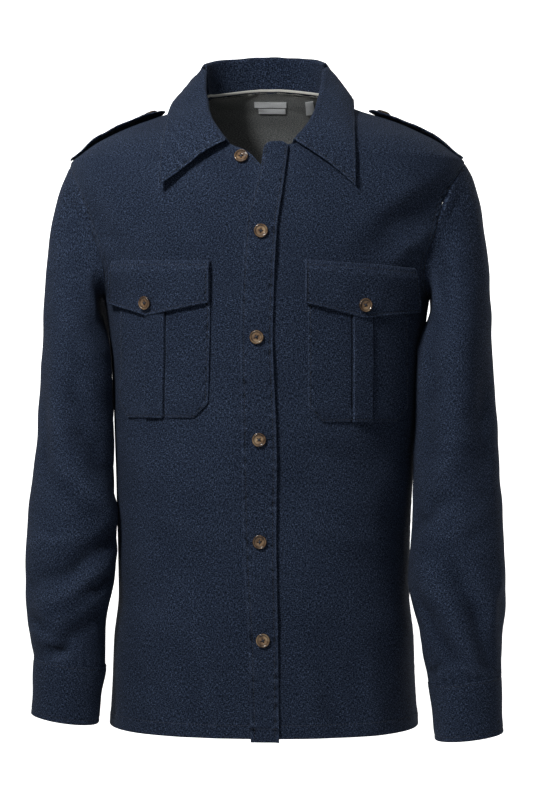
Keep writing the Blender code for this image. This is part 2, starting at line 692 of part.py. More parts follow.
def label_walls(label):
    """A label on the inner face of the back."""
    outer = []
    inner = []
    for t in (0.0, 1.0):
        z = np.full(5, label["low"] + t * (label["high"] - label["low"]))
        x = np.linspace(label["x0"], label["x1"], 5)
        angle = angle_at_x(x + 1e-9, z, behind=True)
        outer.append(lay(angle, z, np.full(5, -SHELL - LAP)))
        inner.append(lay(angle, z, np.full(5, -SHELL - LAP - LABEL_WALL)))
    return np.array(outer), np.array(inner)


# Buttons

def add_button(name, seat, normal, finish):
    """A turned button with a raised rim, standing on its seat."""
    sides = 12
    normal = unit(normal)
    first = unit(np.cross(normal, np.array((0.0, 0.0, 1.0))))
    second = np.cross(normal, first)
    profile = ((0.80, 0.0), (1.0, 0.30), (1.0, 0.75), (0.86, 1.0), (0.62, 0.72))
    turn = np.arange(sides) * 2 * np.pi / sides
    circle = np.cos(turn)[:, None] * first + np.sin(turn)[:, None] * second
    base = seat + normal * SEAM
    rings = [base + circle * BUTTON_RADIUS * r + normal * BUTTON_HEIGHT * h for r, h in profile]
    vertices = np.concatenate(rings)
    faces = [tuple(range(sides)), tuple(range(sides * 4, sides * 5))]
    for i in range(len(profile) - 1):
        for k in range(sides):
            j = (k + 1) % sides
            faces.append((i * sides + k, i * sides + j, (i + 1) * sides + j, (i + 1) * sides + k))
    return add_solid(name, vertices, faces, finish)


def front_button_places():
    """Seats of the front buttons, on the band, and of the open one on the under front."""
    for z in FRONT_BUTTON_Z:
        x = (curve(BAND, "free", z) + curve(BAND, "sewn", z)) / 2
        yield float(x), z, LAP + TRIM_WALL
    yield TOP_BUTTON["x"], TOP_BUTTON["z"], 0.0


def cuff_button_seat(name):
    """A place on the outer back of a cuff, and the way it faces."""
    outer, inner = cuff_walls(name)
    index = SLEEVE_POINTS - 3
    seat = (outer[0, index] + outer[1, index] + outer[2, index] + outer[3, index]) / 4
    face = unit(outer[1, index] - inner[1, index])
    side = 1 if name == "left" else -1
    return mirror(seat + face * 0.0004, side), mirror(face, side)


def build():
    for old in list(bpy.data.objects):
        bpy.data.objects.remove(old)
    denim = material("denim", (0.020, 0.027, 0.045), 0.90)
    denim_trim = material("denim_trim", (0.018, 0.025, 0.042), 0.90)
    horn = material("horn", (0.28, 0.17, 0.09), 0.35)
    white_tape = material("white_tape", (0.62, 0.61, 0.57), 0.85)
    label_cloth = material("label_cloth", (0.55, 0.56, 0.55), 0.80)

    add_wall("front_left", *front_panel(1), denim)
    add_wall("front_right", *front_panel(-1), denim)
    add_wall("back", *back_panel(), denim)
    for name, side in (("left", 1), ("right", -1)):
        outer, inner = sleeve(name)
        add_wall("sleeve_" + name, mirror(outer, side), mirror(inner, side), denim, closed=True)
        outer, inner = cuff_walls(name)
        add_wall("cuff_" + name, mirror(outer, side), mirror(inner, side), denim_trim, closed=True)
        add_wall("pocket_" + name, *pocket_walls(name), denim)
        add_wall("flap_" + name, *flap_walls(name), denim_trim)
        add_wall("shoulder_tab_" + name, *tab_walls(name), denim_trim)
    add_wall("collar", *collar_walls(), denim_trim)
    add_wall("front_band", *band_walls(), denim_trim)
    add_wall("neck_tape", *tape_walls(), white_tape)
    for label in LABELS:
        add_wall(label["name"], *label_walls(label), label_cloth)

    for number, (x, z, out) in enumerate(front_button_places(), 1):
        angle = angle_at_x(x, z)
        add_button(f"button_front_{number}", lay(angle, z, out), normal_of(body, angle, z), horn)
    for name, side in (("left", 1), ("right", -1)):
        shape = FLAP[name]
        z = shape["point_z"] + FLAP_BUTTON_UP
        angle = side * angle_at_x(shape["point"], z)
        seat = lay(angle, z, LAP + FLAP_RISE + TRIM_WALL)
        add_button("button_flap_" + name, seat, normal_of(body, angle, z), horn)
        seat, face = tab_button_seat(name)
        add_button("button_tab_" + name, seat, face, horn)
        seat, face = cuff_button_seat(name)
        add_button("button_cuff_" + name, seat, face, horn)


build()
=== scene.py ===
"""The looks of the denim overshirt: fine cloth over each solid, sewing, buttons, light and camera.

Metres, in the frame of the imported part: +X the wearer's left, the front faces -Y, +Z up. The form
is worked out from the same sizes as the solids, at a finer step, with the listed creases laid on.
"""

import math
import random

import bpy
import numpy as np
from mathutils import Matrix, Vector


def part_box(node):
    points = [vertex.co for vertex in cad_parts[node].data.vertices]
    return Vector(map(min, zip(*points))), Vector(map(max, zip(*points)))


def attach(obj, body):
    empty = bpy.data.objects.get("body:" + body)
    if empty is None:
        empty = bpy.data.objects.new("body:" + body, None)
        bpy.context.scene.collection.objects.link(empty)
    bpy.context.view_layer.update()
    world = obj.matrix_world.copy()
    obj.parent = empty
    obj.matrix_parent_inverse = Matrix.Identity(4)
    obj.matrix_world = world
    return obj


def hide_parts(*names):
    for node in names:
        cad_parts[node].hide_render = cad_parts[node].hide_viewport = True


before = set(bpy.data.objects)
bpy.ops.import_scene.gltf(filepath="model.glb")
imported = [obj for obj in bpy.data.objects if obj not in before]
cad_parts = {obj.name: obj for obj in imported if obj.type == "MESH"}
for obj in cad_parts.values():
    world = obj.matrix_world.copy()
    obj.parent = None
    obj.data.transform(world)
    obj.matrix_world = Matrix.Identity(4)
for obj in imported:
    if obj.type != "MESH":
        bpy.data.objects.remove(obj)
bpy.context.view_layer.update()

# Sizes shared with the solids
HEM_Z = -0.717
SEAM = 0.0004
SIDE_Y = 0.012
SIDES = dict(left=1, right=-1)
SQUARENESS = 2.3
ARMPIT_Z = -0.225
SHOULDER_TIP_Z = -0.068
NECK_POINT_Z = 0.0078
BACK_NECK_Z = 0.0238
ARM_TOP_Z = -0.290
ARM_CLEARANCE = 0.0036
BODY = dict(
    z=(-0.717, -0.661, -0.617, -0.566, -0.500, -0.400, -0.300, -0.260, -0.225, -0.205, -0.185, -0.155,
       -0.125, -0.095, -0.068, -0.057, -0.046, -0.035, -0.0235, -0.0145, -0.008, 0.000, 0.008, 0.018,
       0.026),
    half_width=(0.179, 0.1755, 0.174, 0.169, 0.170, 0.174, 0.180, 0.184, 0.189, 0.197, 0.206, 0.219,
                0.227, 0.231, 0.229, 0.216, 0.2015, 0.181, 0.156, 0.131, 0.111, 0.090, 0.0709, 0.0575,
                0.042),
    front=(0.134, 0.133, 0.132, 0.131, 0.131, 0.134, 0.137, 0.138, 0.139, 0.139, 0.139, 0.138,
           0.135, 0.130, 0.121, 0.116, 0.107, 0.094, 0.078, 0.063, 0.054, 0.042, 0.030, 0.024, 0.020),
    back=(0.119, 0.117, 0.115, 0.113, 0.114, 0.117, 0.120, 0.120, 0.119, 0.118, 0.117, 0.115,
          0.112, 0.108, 0.104, 0.102, 0.099, 0.096, 0.092, 0.088, 0.084, 0.079, 0.073, 0.066, 0.059))
LEAN = dict(
    z=(-0.717, -0.500, -0.380, -0.260),
    x=(-0.0037, -0.0037, -0.0018, 0.0))
ARMHOLE = dict(
    z=(-0.225, -0.2235, -0.2195, -0.212, -0.200, -0.183, -0.163, -0.142, -0.121, -0.102, -0.085,
       -0.0745, -0.068),
    front_y=(0.012, -0.014, -0.031, -0.045, -0.056, -0.0625, -0.064, -0.061, -0.057, -0.049, -0.034,
             -0.015, 0.012),
    back_y=(0.012, 0.038, 0.054, 0.066, 0.074, 0.0785, 0.080, 0.079, 0.075, 0.067, 0.053,
            0.036, 0.012))
NECK_FRONT = dict(
    z=(-0.057, -0.046, -0.0355, -0.0250, -0.0140, -0.0045, 0.0078),
    x=(0.034, 0.0445, 0.0530, 0.0595, 0.0645, 0.0675, 0.0690))
NECK_BACK = dict(
    z=(0.0078, 0.0115, 0.0155, 0.019, 0.022, 0.0238),
    x=(0.0709, 0.0655, 0.0560, 0.0430, 0.0270, 0.0120))
BAND = dict(
    z=(-0.717, -0.620, -0.500, -0.400, -0.275, -0.153, -0.108, -0.081, -0.061),
    free=(-0.0100, -0.0125, -0.0185, -0.0200, -0.0210, -0.0155, -0.0050, 0.0010, 0.0035),
    sewn=(0.0215, 0.0205, 0.0185, 0.0190, 0.0150, 0.0195, 0.0255, 0.0290, 0.0310))
BAND_DROP = 0.0035
BAND_TOP_Z = -0.0545
BAND_TOP_ROUNDING = 0.0065
BAND_LAP = 0.0040
UNDER_TOP = dict(
    z=(-0.104, -0.092, -0.081, -0.066, -0.060, -0.057),
    x=(0.0205, 0.0120, 0.0015, -0.0130, -0.0240, -0.0340))
COLLAR = dict(
    turn=(0.00, 0.20, 0.35, 0.45, 0.55, 0.70, 0.85, 1.00),
    rise=(0.041, 0.041, 0.038, 0.034, 0.028, 0.017, 0.008, 0.003),
    lean=(0.003, 0.003, 0.001, -0.001, -0.002, -0.001, 0.001, 0.003),
    edge_x=(0.000, 0.050, 0.086, 0.101, 0.105, 0.1075, 0.109, 0.110),
    edge_y=(0.099, 0.093, 0.067, 0.038, 0.002, -0.053, -0.103, -0.1185),
    edge_z=(0.014, 0.014, 0.012, 0.009, 0.005, -0.020, -0.060, -0.105))
COLLAR_SWAY = -0.0035
ROLL_WIDTH = 0.0070
ROLL_CROWN = 0.0022
FALL_CROWN = 0.0030
ARM = dict(
    z=(-0.730, -0.675, -0.640, -0.600, -0.545, -0.500, -0.447, -0.362, -0.290),
    left_outer=(0.2700, 0.2685, 0.2690, 0.2715, 0.2755, 0.2725, 0.2695, 0.2645, 0.2598),
    left_inner=(0.1955, 0.1895, 0.1840, 0.1765, 0.1640, 0.1665, 0.1690, 0.1705, 0.1690),
    right_outer=(0.2655, 0.2628, 0.2625, 0.2712, 0.2742, 0.2738, 0.2695, 0.2618, 0.2580),
    right_inner=(0.1905, 0.1865, 0.1815, 0.1825, 0.1725, 0.1685, 0.1675, 0.1725, 0.1725),
    middle_y=(-0.058, -0.055, -0.052, -0.047, -0.040, -0.034, -0.028, -0.022, -0.018),
    half_y=(0.041, 0.044, 0.047, 0.051, 0.0555, 0.0575, 0.059, 0.061, 0.063))
CUFF = dict(
    left=dict(top=-0.6555, bottom=-0.7205, tilt=0.12),
    right=dict(top=-0.6385, bottom=-0.7045, tilt=0.15))
POCKET = dict(
    left=dict(near=0.0530, far=0.1620, low=-0.3665, chamfer=0.016, fold_near=0.1010, fold_far=0.1230),
    right=dict(near=0.0545, far=0.1600, low=-0.3620, chamfer=0.016, fold_near=0.1050, fold_far=0.1270))
POCKET_TOP_Z = -0.2005
FLAP = dict(
    left=dict(near=0.0495, far=0.1700, top_near=-0.1870, top_far=-0.1935,
              low_near=-0.2350, low_far=-0.2430, point=0.1130, point_z=-0.2515, far_low=0.1725),
    right=dict(near=0.0550, far=0.1690, top_near=-0.1870, top_far=-0.1845,
               low_near=-0.2345, low_far=-0.2320, point=0.1250, point_z=-0.2480, far_low=0.1710))
FLAP_BUTTON_UP = 0.0150
TAB = dict(
    left=dict(tip=0.1160, lift=0.0030),
    right=dict(tip=0.1160, lift=0.0050))
TAB_ROOT_X = 0.2250
TAB_ROOT_WIDTH = 0.044
TAB_TIP_WIDTH = 0.036
TAB_POINT = 0.012
TAB_LIFT_FROM_X = 0.222
TAB_LIFT_REACH = 0.034
BUTTON_RADIUS = 0.0079
BUTTON_HEIGHT = 0.0030
CUFF_BUTTON_SINK = 0.0010
# How far the laid pieces' middles stand off the torso
BAND_OUT = 0.0026
POCKET_OUT = 0.0024
FLAP_OUT = 0.0026
FLAP_STAND = 0.0050
FLAP_BUTTON_OUT = 0.0077
TAB_OUT = 0.0028
FRONT_BUTTON_Z = (-0.1555, -0.2725, -0.3860, -0.4990, -0.6080)
TOP_BUTTON = dict(x=-0.0215, z=-0.0715)
# Labels inside the back: name, both ends across, foot and head
LABELS = (
    ("neck_label", -0.0198, 0.0195, 0.0088, 0.0149),
    ("care_label", -0.0150, 0.0180, 0.0022, 0.0076),
    ("size_tab", 0.0430, 0.0530, 0.0000, 0.0130))

# Cloth and sewing
CLOTH = 0.0012
TWO_PLY = 0.0018
HEM_TURN = 0.0165
HEM_STITCH = HEM_TURN - 0.0012
ARM_STITCH = 0.0060
SIDE_STITCH = 0.0050
STAND_STITCH = 0.0035
CUFF_TOP_STITCH = 0.0030
CUFF_END_STITCH = 0.0055
COLLAR_STITCH = 0.0034
BAND_STITCH = 0.0046
POCKET_STITCH = 0.0030
FLAP_STITCH = 0.0036
FLAP_SEAM_STITCH = 0.0062
TAB_STITCH = 0.0036
STITCH_LENGTH = 0.0024
STITCH_PITCH = 0.0034
STITCH_RADIUS = 0.00028
STITCH_START = 0.001
TROUGH_DEPTH = 0.00050
TROUGH_WIDTH = 0.0011
PUCKER_REACH = 0.0070
# Gain from a sheet's relief to its wear paling on ridges and its painted shade in hollows
SHADE_AND_WEAR_GAIN = 1.1

PLEAT_RISE = 0.0028

# Creases. Columns: place of each end, width and height (a trough is negative)
FRONT_FOLDS = (
    (0.205, -0.105, 0.125, -0.172, 0.020, -0.0065),
    (0.205, -0.085, 0.140, -0.128, 0.012, 0.0026),
    (0.192, -0.150, 0.150, -0.182, 0.009, 0.0028),
    (-0.150, -0.400, -0.060, -0.440, 0.030, 0.0030),
    (0.060, -0.430, 0.155, -0.400, 0.030, -0.0035),
    (-0.160, -0.560, -0.040, -0.520, 0.028, -0.0030),
    (0.050, -0.560, 0.165, -0.600, 0.026, 0.0035),
    (-0.192, -0.130, -0.150, -0.178, 0.012, -0.0028),
    (-0.120, -0.100, -0.070, -0.170, 0.018, 0.0020),
    (-0.130, -0.470, -0.050, -0.490, 0.014, 0.0018),
    (-0.110, -0.590, -0.030, -0.630, 0.018, 0.0025),
    (-0.150, -0.640, -0.090, -0.690, 0.014, -0.0023),
    (-0.060, -0.640, -0.050, -0.715, 0.013, 0.0025),
    (0.070, -0.640, 0.085, -0.715, 0.014, -0.0027),
    (0.120, -0.630, 0.128, -0.715, 0.013, 0.0025),
    (0.060, -0.480, 0.130, -0.500, 0.014, 0.0022),
    (0.055, -0.395, 0.110, -0.405, 0.012, -0.0018),
    (0.150, -0.450, 0.155, -0.540, 0.016, -0.0025))
BACK_FOLDS = (
    (-0.190, -0.130, -0.100, -0.160, 0.016, -0.0022),
    (0.190, -0.135, 0.095, -0.170, 0.016, -0.0022),
    (-0.150, -0.110, -0.060, -0.120, 0.018, 0.0027),
    (0.140, -0.105, 0.050, -0.125, 0.018, 0.0027),
    (-0.140, -0.420, -0.020, -0.470, 0.028, -0.0026),
    (0.150, -0.430, 0.030, -0.400, 0.026, 0.0022),
    (-0.110, -0.520, 0.060, -0.505, 0.022, 0.0022),
    (0.020, -0.560, 0.150, -0.600, 0.024, -0.0022),
    (-0.150, -0.610, -0.050, -0.580, 0.020, -0.0018),
    (-0.080, -0.630, -0.085, -0.715, 0.016, 0.0018),
    (0.010, -0.640, 0.018, -0.715, 0.018, -0.0018),
    (0.100, -0.640, 0.110, -0.715, 0.015, 0.0018))
# Sleeve creases. Turn goes by degrees round the arm: outer side 0, front 90, body side 180
SLEEVE_FOLDS = dict(
    right=(
        (90, -0.285, 104, -0.370, 0.018, -0.0045), (108, -0.386, 165, -0.444, 0.016, -0.0060),
        (158, -0.502, 43, -0.546, 0.014, -0.0065), (142, -0.590, 50, -0.634, 0.013, -0.0055),
        (60, -0.300, 78, -0.400, 0.014, 0.0030), (75, -0.415, 150, -0.470, 0.012, 0.0035),
        (150, -0.530, 60, -0.575, 0.012, 0.0035), (35, -0.505, 95, -0.495, 0.010, 0.0022),
        (30, -0.585, 80, -0.600, 0.009, -0.0022), (120, -0.560, 165, -0.545, 0.009, -0.0025),
        (60, -0.150, 110, -0.200, 0.012, -0.0025), (95, -0.170, 130, -0.240, 0.010, 0.0025),
        (40, -0.350, 60, -0.430, 0.013, -0.0020), (100, -0.630, 60, -0.646, 0.006, 0.0020),
        (-40, -0.470, -130, -0.430, 0.018, -0.0050), (-60, -0.600, -140, -0.560, 0.016, -0.0045),
        (-30, -0.520, -120, -0.500, 0.013, 0.0035), (-70, -0.380, -150, -0.330, 0.016, 0.0030),
        (-50, -0.560, -110, -0.530, 0.010, -0.0030), (-70, -0.170, -110, -0.250, 0.013, -0.0025)),
    left=(
        (76, -0.250, 89, -0.379, 0.020, 0.0045), (89, -0.379, 109, -0.430, 0.017, 0.0040),
        (129, -0.532, 69, -0.634, 0.015, 0.0055), (94, -0.528, 53, -0.645, 0.013, -0.0060),
        (120, -0.260, 135, -0.400, 0.016, -0.0040), (110, -0.450, 160, -0.490, 0.013, -0.0045),
        (60, -0.470, 120, -0.500, 0.012, 0.0028), (150, -0.560, 110, -0.625, 0.012, -0.0040),
        (105, -0.140, 122, -0.230, 0.009, 0.0032), (88, -0.160, 100, -0.235, 0.009, -0.0030),
        (40, -0.330, 55, -0.440, 0.013, -0.0022), (30, -0.540, 60, -0.600, 0.012, 0.0025),
        (90, -0.640, 40, -0.655, 0.007, 0.0020), (130, -0.635, 165, -0.655, 0.008, -0.0025),
        (-50, -0.480, -120, -0.440, 0.018, -0.0050), (-45, -0.590, -130, -0.545, 0.016, -0.0045),
        (-35, -0.530, -120, -0.505, 0.013, 0.0035), (-70, -0.370, -150, -0.330, 0.016, 0.0030),
        (-55, -0.570, -120, -0.535, 0.010, -0.0030), (-70, -0.170, -110, -0.250, 0.013, -0.0025)))


# Curves and frames

def curve(table, column, at):
    """A smooth value through a table's rows, which never overshoots them."""
    keys = np.array(next(iter(table.values())), float)
    values = np.array(table[column], float)
    steps = np.diff(keys)
    slopes = np.diff(values) / steps
    bends = slopes[:-1] * slopes[1:]
    tangents = np.concatenate(([slopes[0]], np.zeros(len(bends)), [slopes[-1]]))
    same_way = bends > 0
    sums = np.where(same_way, slopes[:-1] + slopes[1:], 1.0)
    tangents[1:-1] = np.where(same_way, 2 * bends / sums, 0.0)
    at = np.clip(np.asarray(at, float), keys[0], keys[-1])
    i = np.clip(np.searchsorted(keys, at, side="right") - 1, 0, len(keys) - 2)
    t = (at - keys[i]) / steps[i]
    start = values[i] * (2 * t**3 - 3 * t**2 + 1) + tangents[i] * steps[i] * (t**3 - 2 * t**2 + t)
    end = values[i + 1] * (3 * t**2 - 2 * t**3) + tangents[i + 1] * steps[i] * (t**3 - t**2)
    return start + end


def unit(vectors):
    return vectors / np.maximum(np.linalg.norm(vectors, axis=-1, keepdims=True), 1e-12)


def hump(gap, width):
    """A soft hump across a line: 1 on it, fading over the width to both sides."""
    return np.exp(-(gap / width) ** 2)


def crease(along, across, ends, width, height):
    """A crease between two places: its own side, and a shallower opposite one beside it."""
    start = np.array(ends[:2])
    reach = np.array(ends[2:]) - start
    length = np.linalg.norm(reach)
    u = along - start[0]
    v = across - start[1]
    t = (u * reach[0] + v * reach[1]) / length**2
    held = np.clip(t, 0, 1)
    gap = np.hypot(u - held * reach[0], v - held * reach[1])
    signed = (u * reach[1] - v * reach[0]) / length
    sway = 0.25 * width * np.sin(9.0 * held + 40 * ends[0])
    taper = 0.55 + 0.45 * np.sin(np.pi * held) ** 0.7
    main = hump(gap - np.sign(signed) * sway * np.sin(np.pi * held), width)
    beside = hump(signed - 1.7 * width, 1.1 * width) * hump(gap, 3 * width)
    return height * taper * (main - 0.35 * beside)


def ripple(u, v, scale, seed):
    """A gentle unevenness, always the same for a seed, between about -1 and 1."""
    draw = random.Random(seed)
    total = 0.0
    for _ in range(7):
        heading = draw.uniform(0, math.pi)
        pitch = draw.uniform(0.6, 1.8) * scale
        phase = draw.uniform(0, 2 * math.pi)
        total = total + np.sin((u * math.cos(heading) + v * math.sin(heading)) * 2 * math.pi / pitch + phase)
    return total / 3.5


# The torso's form

def ring(angle, z):
    """The bare torso: angle 0 is the front centre, a right angle the wearer's left side."""
    power = 2 / SQUARENESS
    width = curve(BODY, "half_width", z)
    depth = np.where(np.cos(angle) > 0, curve(BODY, "front", z), curve(BODY, "back", z))
    sine = np.sin(angle)
    cosine = np.cos(angle)
    x = curve(LEAN, "x", z) + width * np.sign(sine) * np.abs(sine) ** power
    y = SIDE_Y - depth * np.sign(cosine) * np.abs(cosine) ** power
    return np.stack(np.broadcast_arrays(x, y, z), axis=-1)


def normal_of(surface, angle, z):
    turn = 2e-3
    step = 5e-4
    across = surface(angle + turn, z) - surface(angle - turn, z)
    upward = surface(angle, z + step) - surface(angle, z - step)
    return unit(np.cross(across, upward))


def body(angle, z):
    """The torso with its creases."""
    points = ring(angle, z)
    x, level = points[..., 0], points[..., 2]
    ahead = 0.0
    for x0, z0, x1, z1, width, height in FRONT_FOLDS:
        ahead = ahead + crease(x, level, (x0, z0, x1, z1), width, height)
    behind = 0.0
    for x0, z0, x1, z1, width, height in BACK_FOLDS:
        behind = behind + crease(x, level, (x0, z0, x1, z1), width, height)
    facing = np.cos(angle)
    share = np.clip(np.abs(facing) * 3, 0, 1)
    height = np.where(facing > 0, ahead, behind) * share
    height = height + 0.0005 * ripple(x, level, 0.075, 4) * share
    return points + normal_of(ring, angle, z) * height[..., None]


def lay(angle, z, out=0.0):
    """A point of the torso moved out along its normal."""
    out = np.asarray(out, float)
    return body(angle, z) + normal_of(body, angle, z) * out[..., None]


def angle_at_x(x, z, behind=False):
    x = x - curve(LEAN, "x", z)
    share = np.clip(np.abs(x) / curve(BODY, "half_width", z), 0, 1)
    angle = np.arcsin(share ** (SQUARENESS / 2))
    if behind:
        return np.where(np.asarray(x) < 0, angle - np.pi, np.pi - angle)
    return np.sign(x) * angle


def angle_at_y(y, z):
    """The angle on the wearer's left side where the ring crosses y."""
    ahead = np.asarray(y) < SIDE_Y
    depth = np.where(ahead, curve(BODY, "front", z), curve(BODY, "back", z))
    share = np.clip(np.abs(y - SIDE_Y) / depth, 0, 1)
    angle = np.arccos(share ** (SQUARENESS / 2))
    return np.where(ahead, angle, np.pi - angle)


def side_angle(z, behind):
    """Where a panel ends at its side: side seam, armhole, then shoulder seam."""
    if ARMPIT_Z < z < SHOULDER_TIP_Z:
        seam_y = curve(ARMHOLE, "back_y" if behind else "front_y", z)
    else:
        seam_y = SIDE_Y + (SEAM / 2 if behind else -SEAM / 2)
    return float(angle_at_y(seam_y, z))


def shoulder_z(x, y):
    """The height of the shoulder above a place, found by halving."""
    low = np.full(np.shape(x), -0.160)
    high = np.full(np.shape(x), 0.020)
    for _ in range(40):
        middle = (low + high) / 2
        depth = np.where(y < SIDE_Y, curve(BODY, "front", middle), curve(BODY, "back", middle))
        width = curve(BODY, "half_width", middle)
        inside = (np.abs(x) / width) ** SQUARENESS + (np.abs(y - SIDE_Y) / depth) ** SQUARENESS < 1
        low = np.where(inside, middle, low)
        high = np.where(inside, high, middle)
    return (low + high) / 2


def add_object(name, data):
    made = bpy.data.objects.new(name, data)
    bpy.context.scene.collection.objects.link(made)
    return made


# Sheets: grids of points, with distances to their edges

def spaced(length, step, fine=0.0, reach=0.0):
    """Places from 0 to 1 along a length, finer within reach of both ends."""
    if fine:
        near = np.arange(0, reach, fine)
        middle = np.linspace(reach, length - reach, max(2, int((length - 2 * reach) / step) + 1))
        places = np.concatenate((near, middle, length - near[::-1]))
    else:
        places = np.linspace(0, length, max(2, int(length / step) + 1))
    return places / length


def run_lengths(grid, axis):
    """Distance along the grid's lines from their start, and from their end."""
    steps = np.linalg.norm(np.diff(grid, axis=axis), axis=-1)
    total = np.concatenate((np.zeros_like(np.take(steps, [0], axis=axis)), np.cumsum(steps, axis=axis)),
                           axis=axis)
    return total, np.take(total, [-1], axis=axis) - total


def grid_normals(grid, closed=False):
    along = np.gradient(grid, axis=0)
    if closed:
        across = np.roll(grid, -1, axis=1) - np.roll(grid, 1, axis=1)
    else:
        across = np.gradient(grid, axis=1)
    return unit(np.cross(across, along))


def sewn_edge(distance, along, seed, stitch=0.0, roll=0.0012, pucker=0.00028):
    """Relief beside a sewn edge: a rounded turn, a stitched trough, and puckers between stitches."""
    relief = -0.0009 * np.clip(1 - distance / roll, 0, 1) ** 2
    if stitch:
        relief = relief - TROUGH_DEPTH * hump(distance - stitch, TROUGH_WIDTH)
        wave = ripple(along, distance * 0.6, 0.0095, seed)
        relief = relief + pucker * wave * hump(distance - stitch, PUCKER_REACH)
    return relief


def add_sheet(name, outer, thickness, finish, lining=None, closed=False, flip=False):
    """A thin closed shell: the outer grid, and an inner one moved back by the cloth's thickness."""
    normals = grid_normals(outer, closed)
    if flip:
        normals = -normals
    rows, columns = outer.shape[:2]
    inner = outer - normals * thickness
    vertices = np.concatenate((outer.reshape(-1, 3), inner.reshape(-1, 3)))
    count = rows * columns
    wide = columns if closed else columns - 1
    r, c = np.meshgrid(np.arange(rows - 1), np.arange(wide), indexing="ij")
    d = (c + 1) % columns
    front = np.stack((r * columns + c, r * columns + d, (r + 1) * columns + d, (r + 1) * columns + c), -1)
    if flip:
        front = front[..., ::-1]
    front = front.reshape(-1, 4)
    rim = rim_faces(rows, columns, closed, flip, count)
    faces = np.concatenate((front, front[:, ::-1] + count, rim))
    mesh = bpy.data.meshes.new(name)
    mesh.vertices.add(len(vertices))
    mesh.vertices.foreach_set("co", vertices.astype(np.float32).ravel())
    mesh.loops.add(len(faces) * 4)
    mesh.loops.foreach_set("vertex_index", faces.astype(np.int32).ravel())
    mesh.polygons.add(len(faces))
    mesh.polygons.foreach_set("loop_start", np.arange(len(faces), dtype=np.int32) * 4)
    across = run_lengths(outer, 1)[0].mean(axis=0)
    along = run_lengths(outer, 0)[0].mean(axis=1)
    u = np.tile(across, (rows, 1)).reshape(-1)
    v = np.tile(along[:, None], (1, columns)).reshape(-1)
    flat = np.concatenate((np.stack((u, v), -1), np.stack((u, v), -1)))
    mesh.update(calc_edges=True)
    layer = mesh.uv_layers.new(name="cloth")
    layer.data.foreach_set("uv", flat[faces.reshape(-1)].astype(np.float32).ravel())
    mesh.materials.append(finish)
    mesh.materials.append(lining or finish)
    # Relief value for the materials: paler ridges as wear, darker hollows and troughs as painted shade
    shade_and_wear = mesh.attributes.new("painted_shade_and_wear", "FLOAT", "POINT")
    shade_and_wear.data.foreach_set("value", np.tile(painted_shade_and_wear(outer, normals, closed).reshape(-1), 2).astype(np.float32))
    index = np.zeros(len(faces), np.int32)
    index[len(front):2 * len(front)] = 1
    mesh.polygons.foreach_set("material_index", index)
    mesh.shade_smooth()
    mesh.set_sharp_from_angle(angle=1.0)
    made = add_object(name, mesh)
    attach(made, "root")
    return made


def painted_shade_and_wear(grid, normals, closed):
    """How sharply the cloth stands out (towards 1) or sinks (towards 0) beside its neighbours: the
    materials pale the cloth as wear where it stands out and darken it as painted shade where it sinks.
    """
    padded = np.pad(grid, ((1, 1), (0, 0), (0, 0)), mode="reflect", reflect_type="odd")
    along = (padded[2:] + padded[:-2]) / 2
    if closed:
        across = (np.roll(grid, 1, axis=1) + np.roll(grid, -1, axis=1)) / 2
        pitch = np.linalg.norm(np.roll(grid, 1, axis=1) - grid, axis=-1)
    else:
        padded = np.pad(grid, ((0, 0), (1, 1), (0, 0)), mode="reflect", reflect_type="odd")
        across = (padded[:, 2:] + padded[:, :-2]) / 2
        pitch = np.linalg.norm(padded[:, 2:] - padded[:, :-2], axis=-1) / 2
    stands = np.sum((2 * grid - along - across) * normals, axis=-1) / np.maximum(pitch, 4e-4)
    return np.clip(0.5 + SHADE_AND_WEAR_GAIN * stands, 0, 1)


def rim_faces(rows, columns, closed, flip, count):
    """The narrow faces that close a sheet's edges."""
    faces = []
    wide = columns if closed else columns - 1
    for c in range(wide):
        d = (c + 1) % columns
        faces.append((d, c, count + c, count + d))
        top = (rows - 1) * columns
        faces.append((top + c, top + d, count + top + d, count + top + c))
    if not closed:
        for r in range(rows - 1):
            a, b = r * columns, (r + 1) * columns
            faces.append((a, b, count + b, count + a))
            e = columns - 1
            faces.append((b + e, a + e, count + a + e, count + b + e))
    faces = np.array(faces)
    return faces[:, ::-1] if flip else faces


def cloth(node_name):
    """Stand a piece in for its solid, by hiding the solid."""
    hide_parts(node_name)


# Sewing

stitch_runs = {}


def sew(group, line, normals):
    """Remember a run of stitches along a line of points, with the cloth's normals there."""
    steps = np.linalg.norm(np.diff(line, axis=0), axis=1)
    reach = np.concatenate(([0.0], np.cumsum(steps)))
    places = np.arange(STITCH_START, reach[-1] - STITCH_LENGTH, STITCH_PITCH)
    first = np.stack([np.interp(places, reach, line[:, k]) for k in range(3)], -1)
    last = np.stack([np.interp(places + STITCH_LENGTH, reach, line[:, k]) for k in range(3)], -1)
    up = np.stack([np.interp(places, reach, normals[:, k]) for k in range(3)], -1)
    stitch_runs.setdefault(group, []).append((first, last, unit(up)))


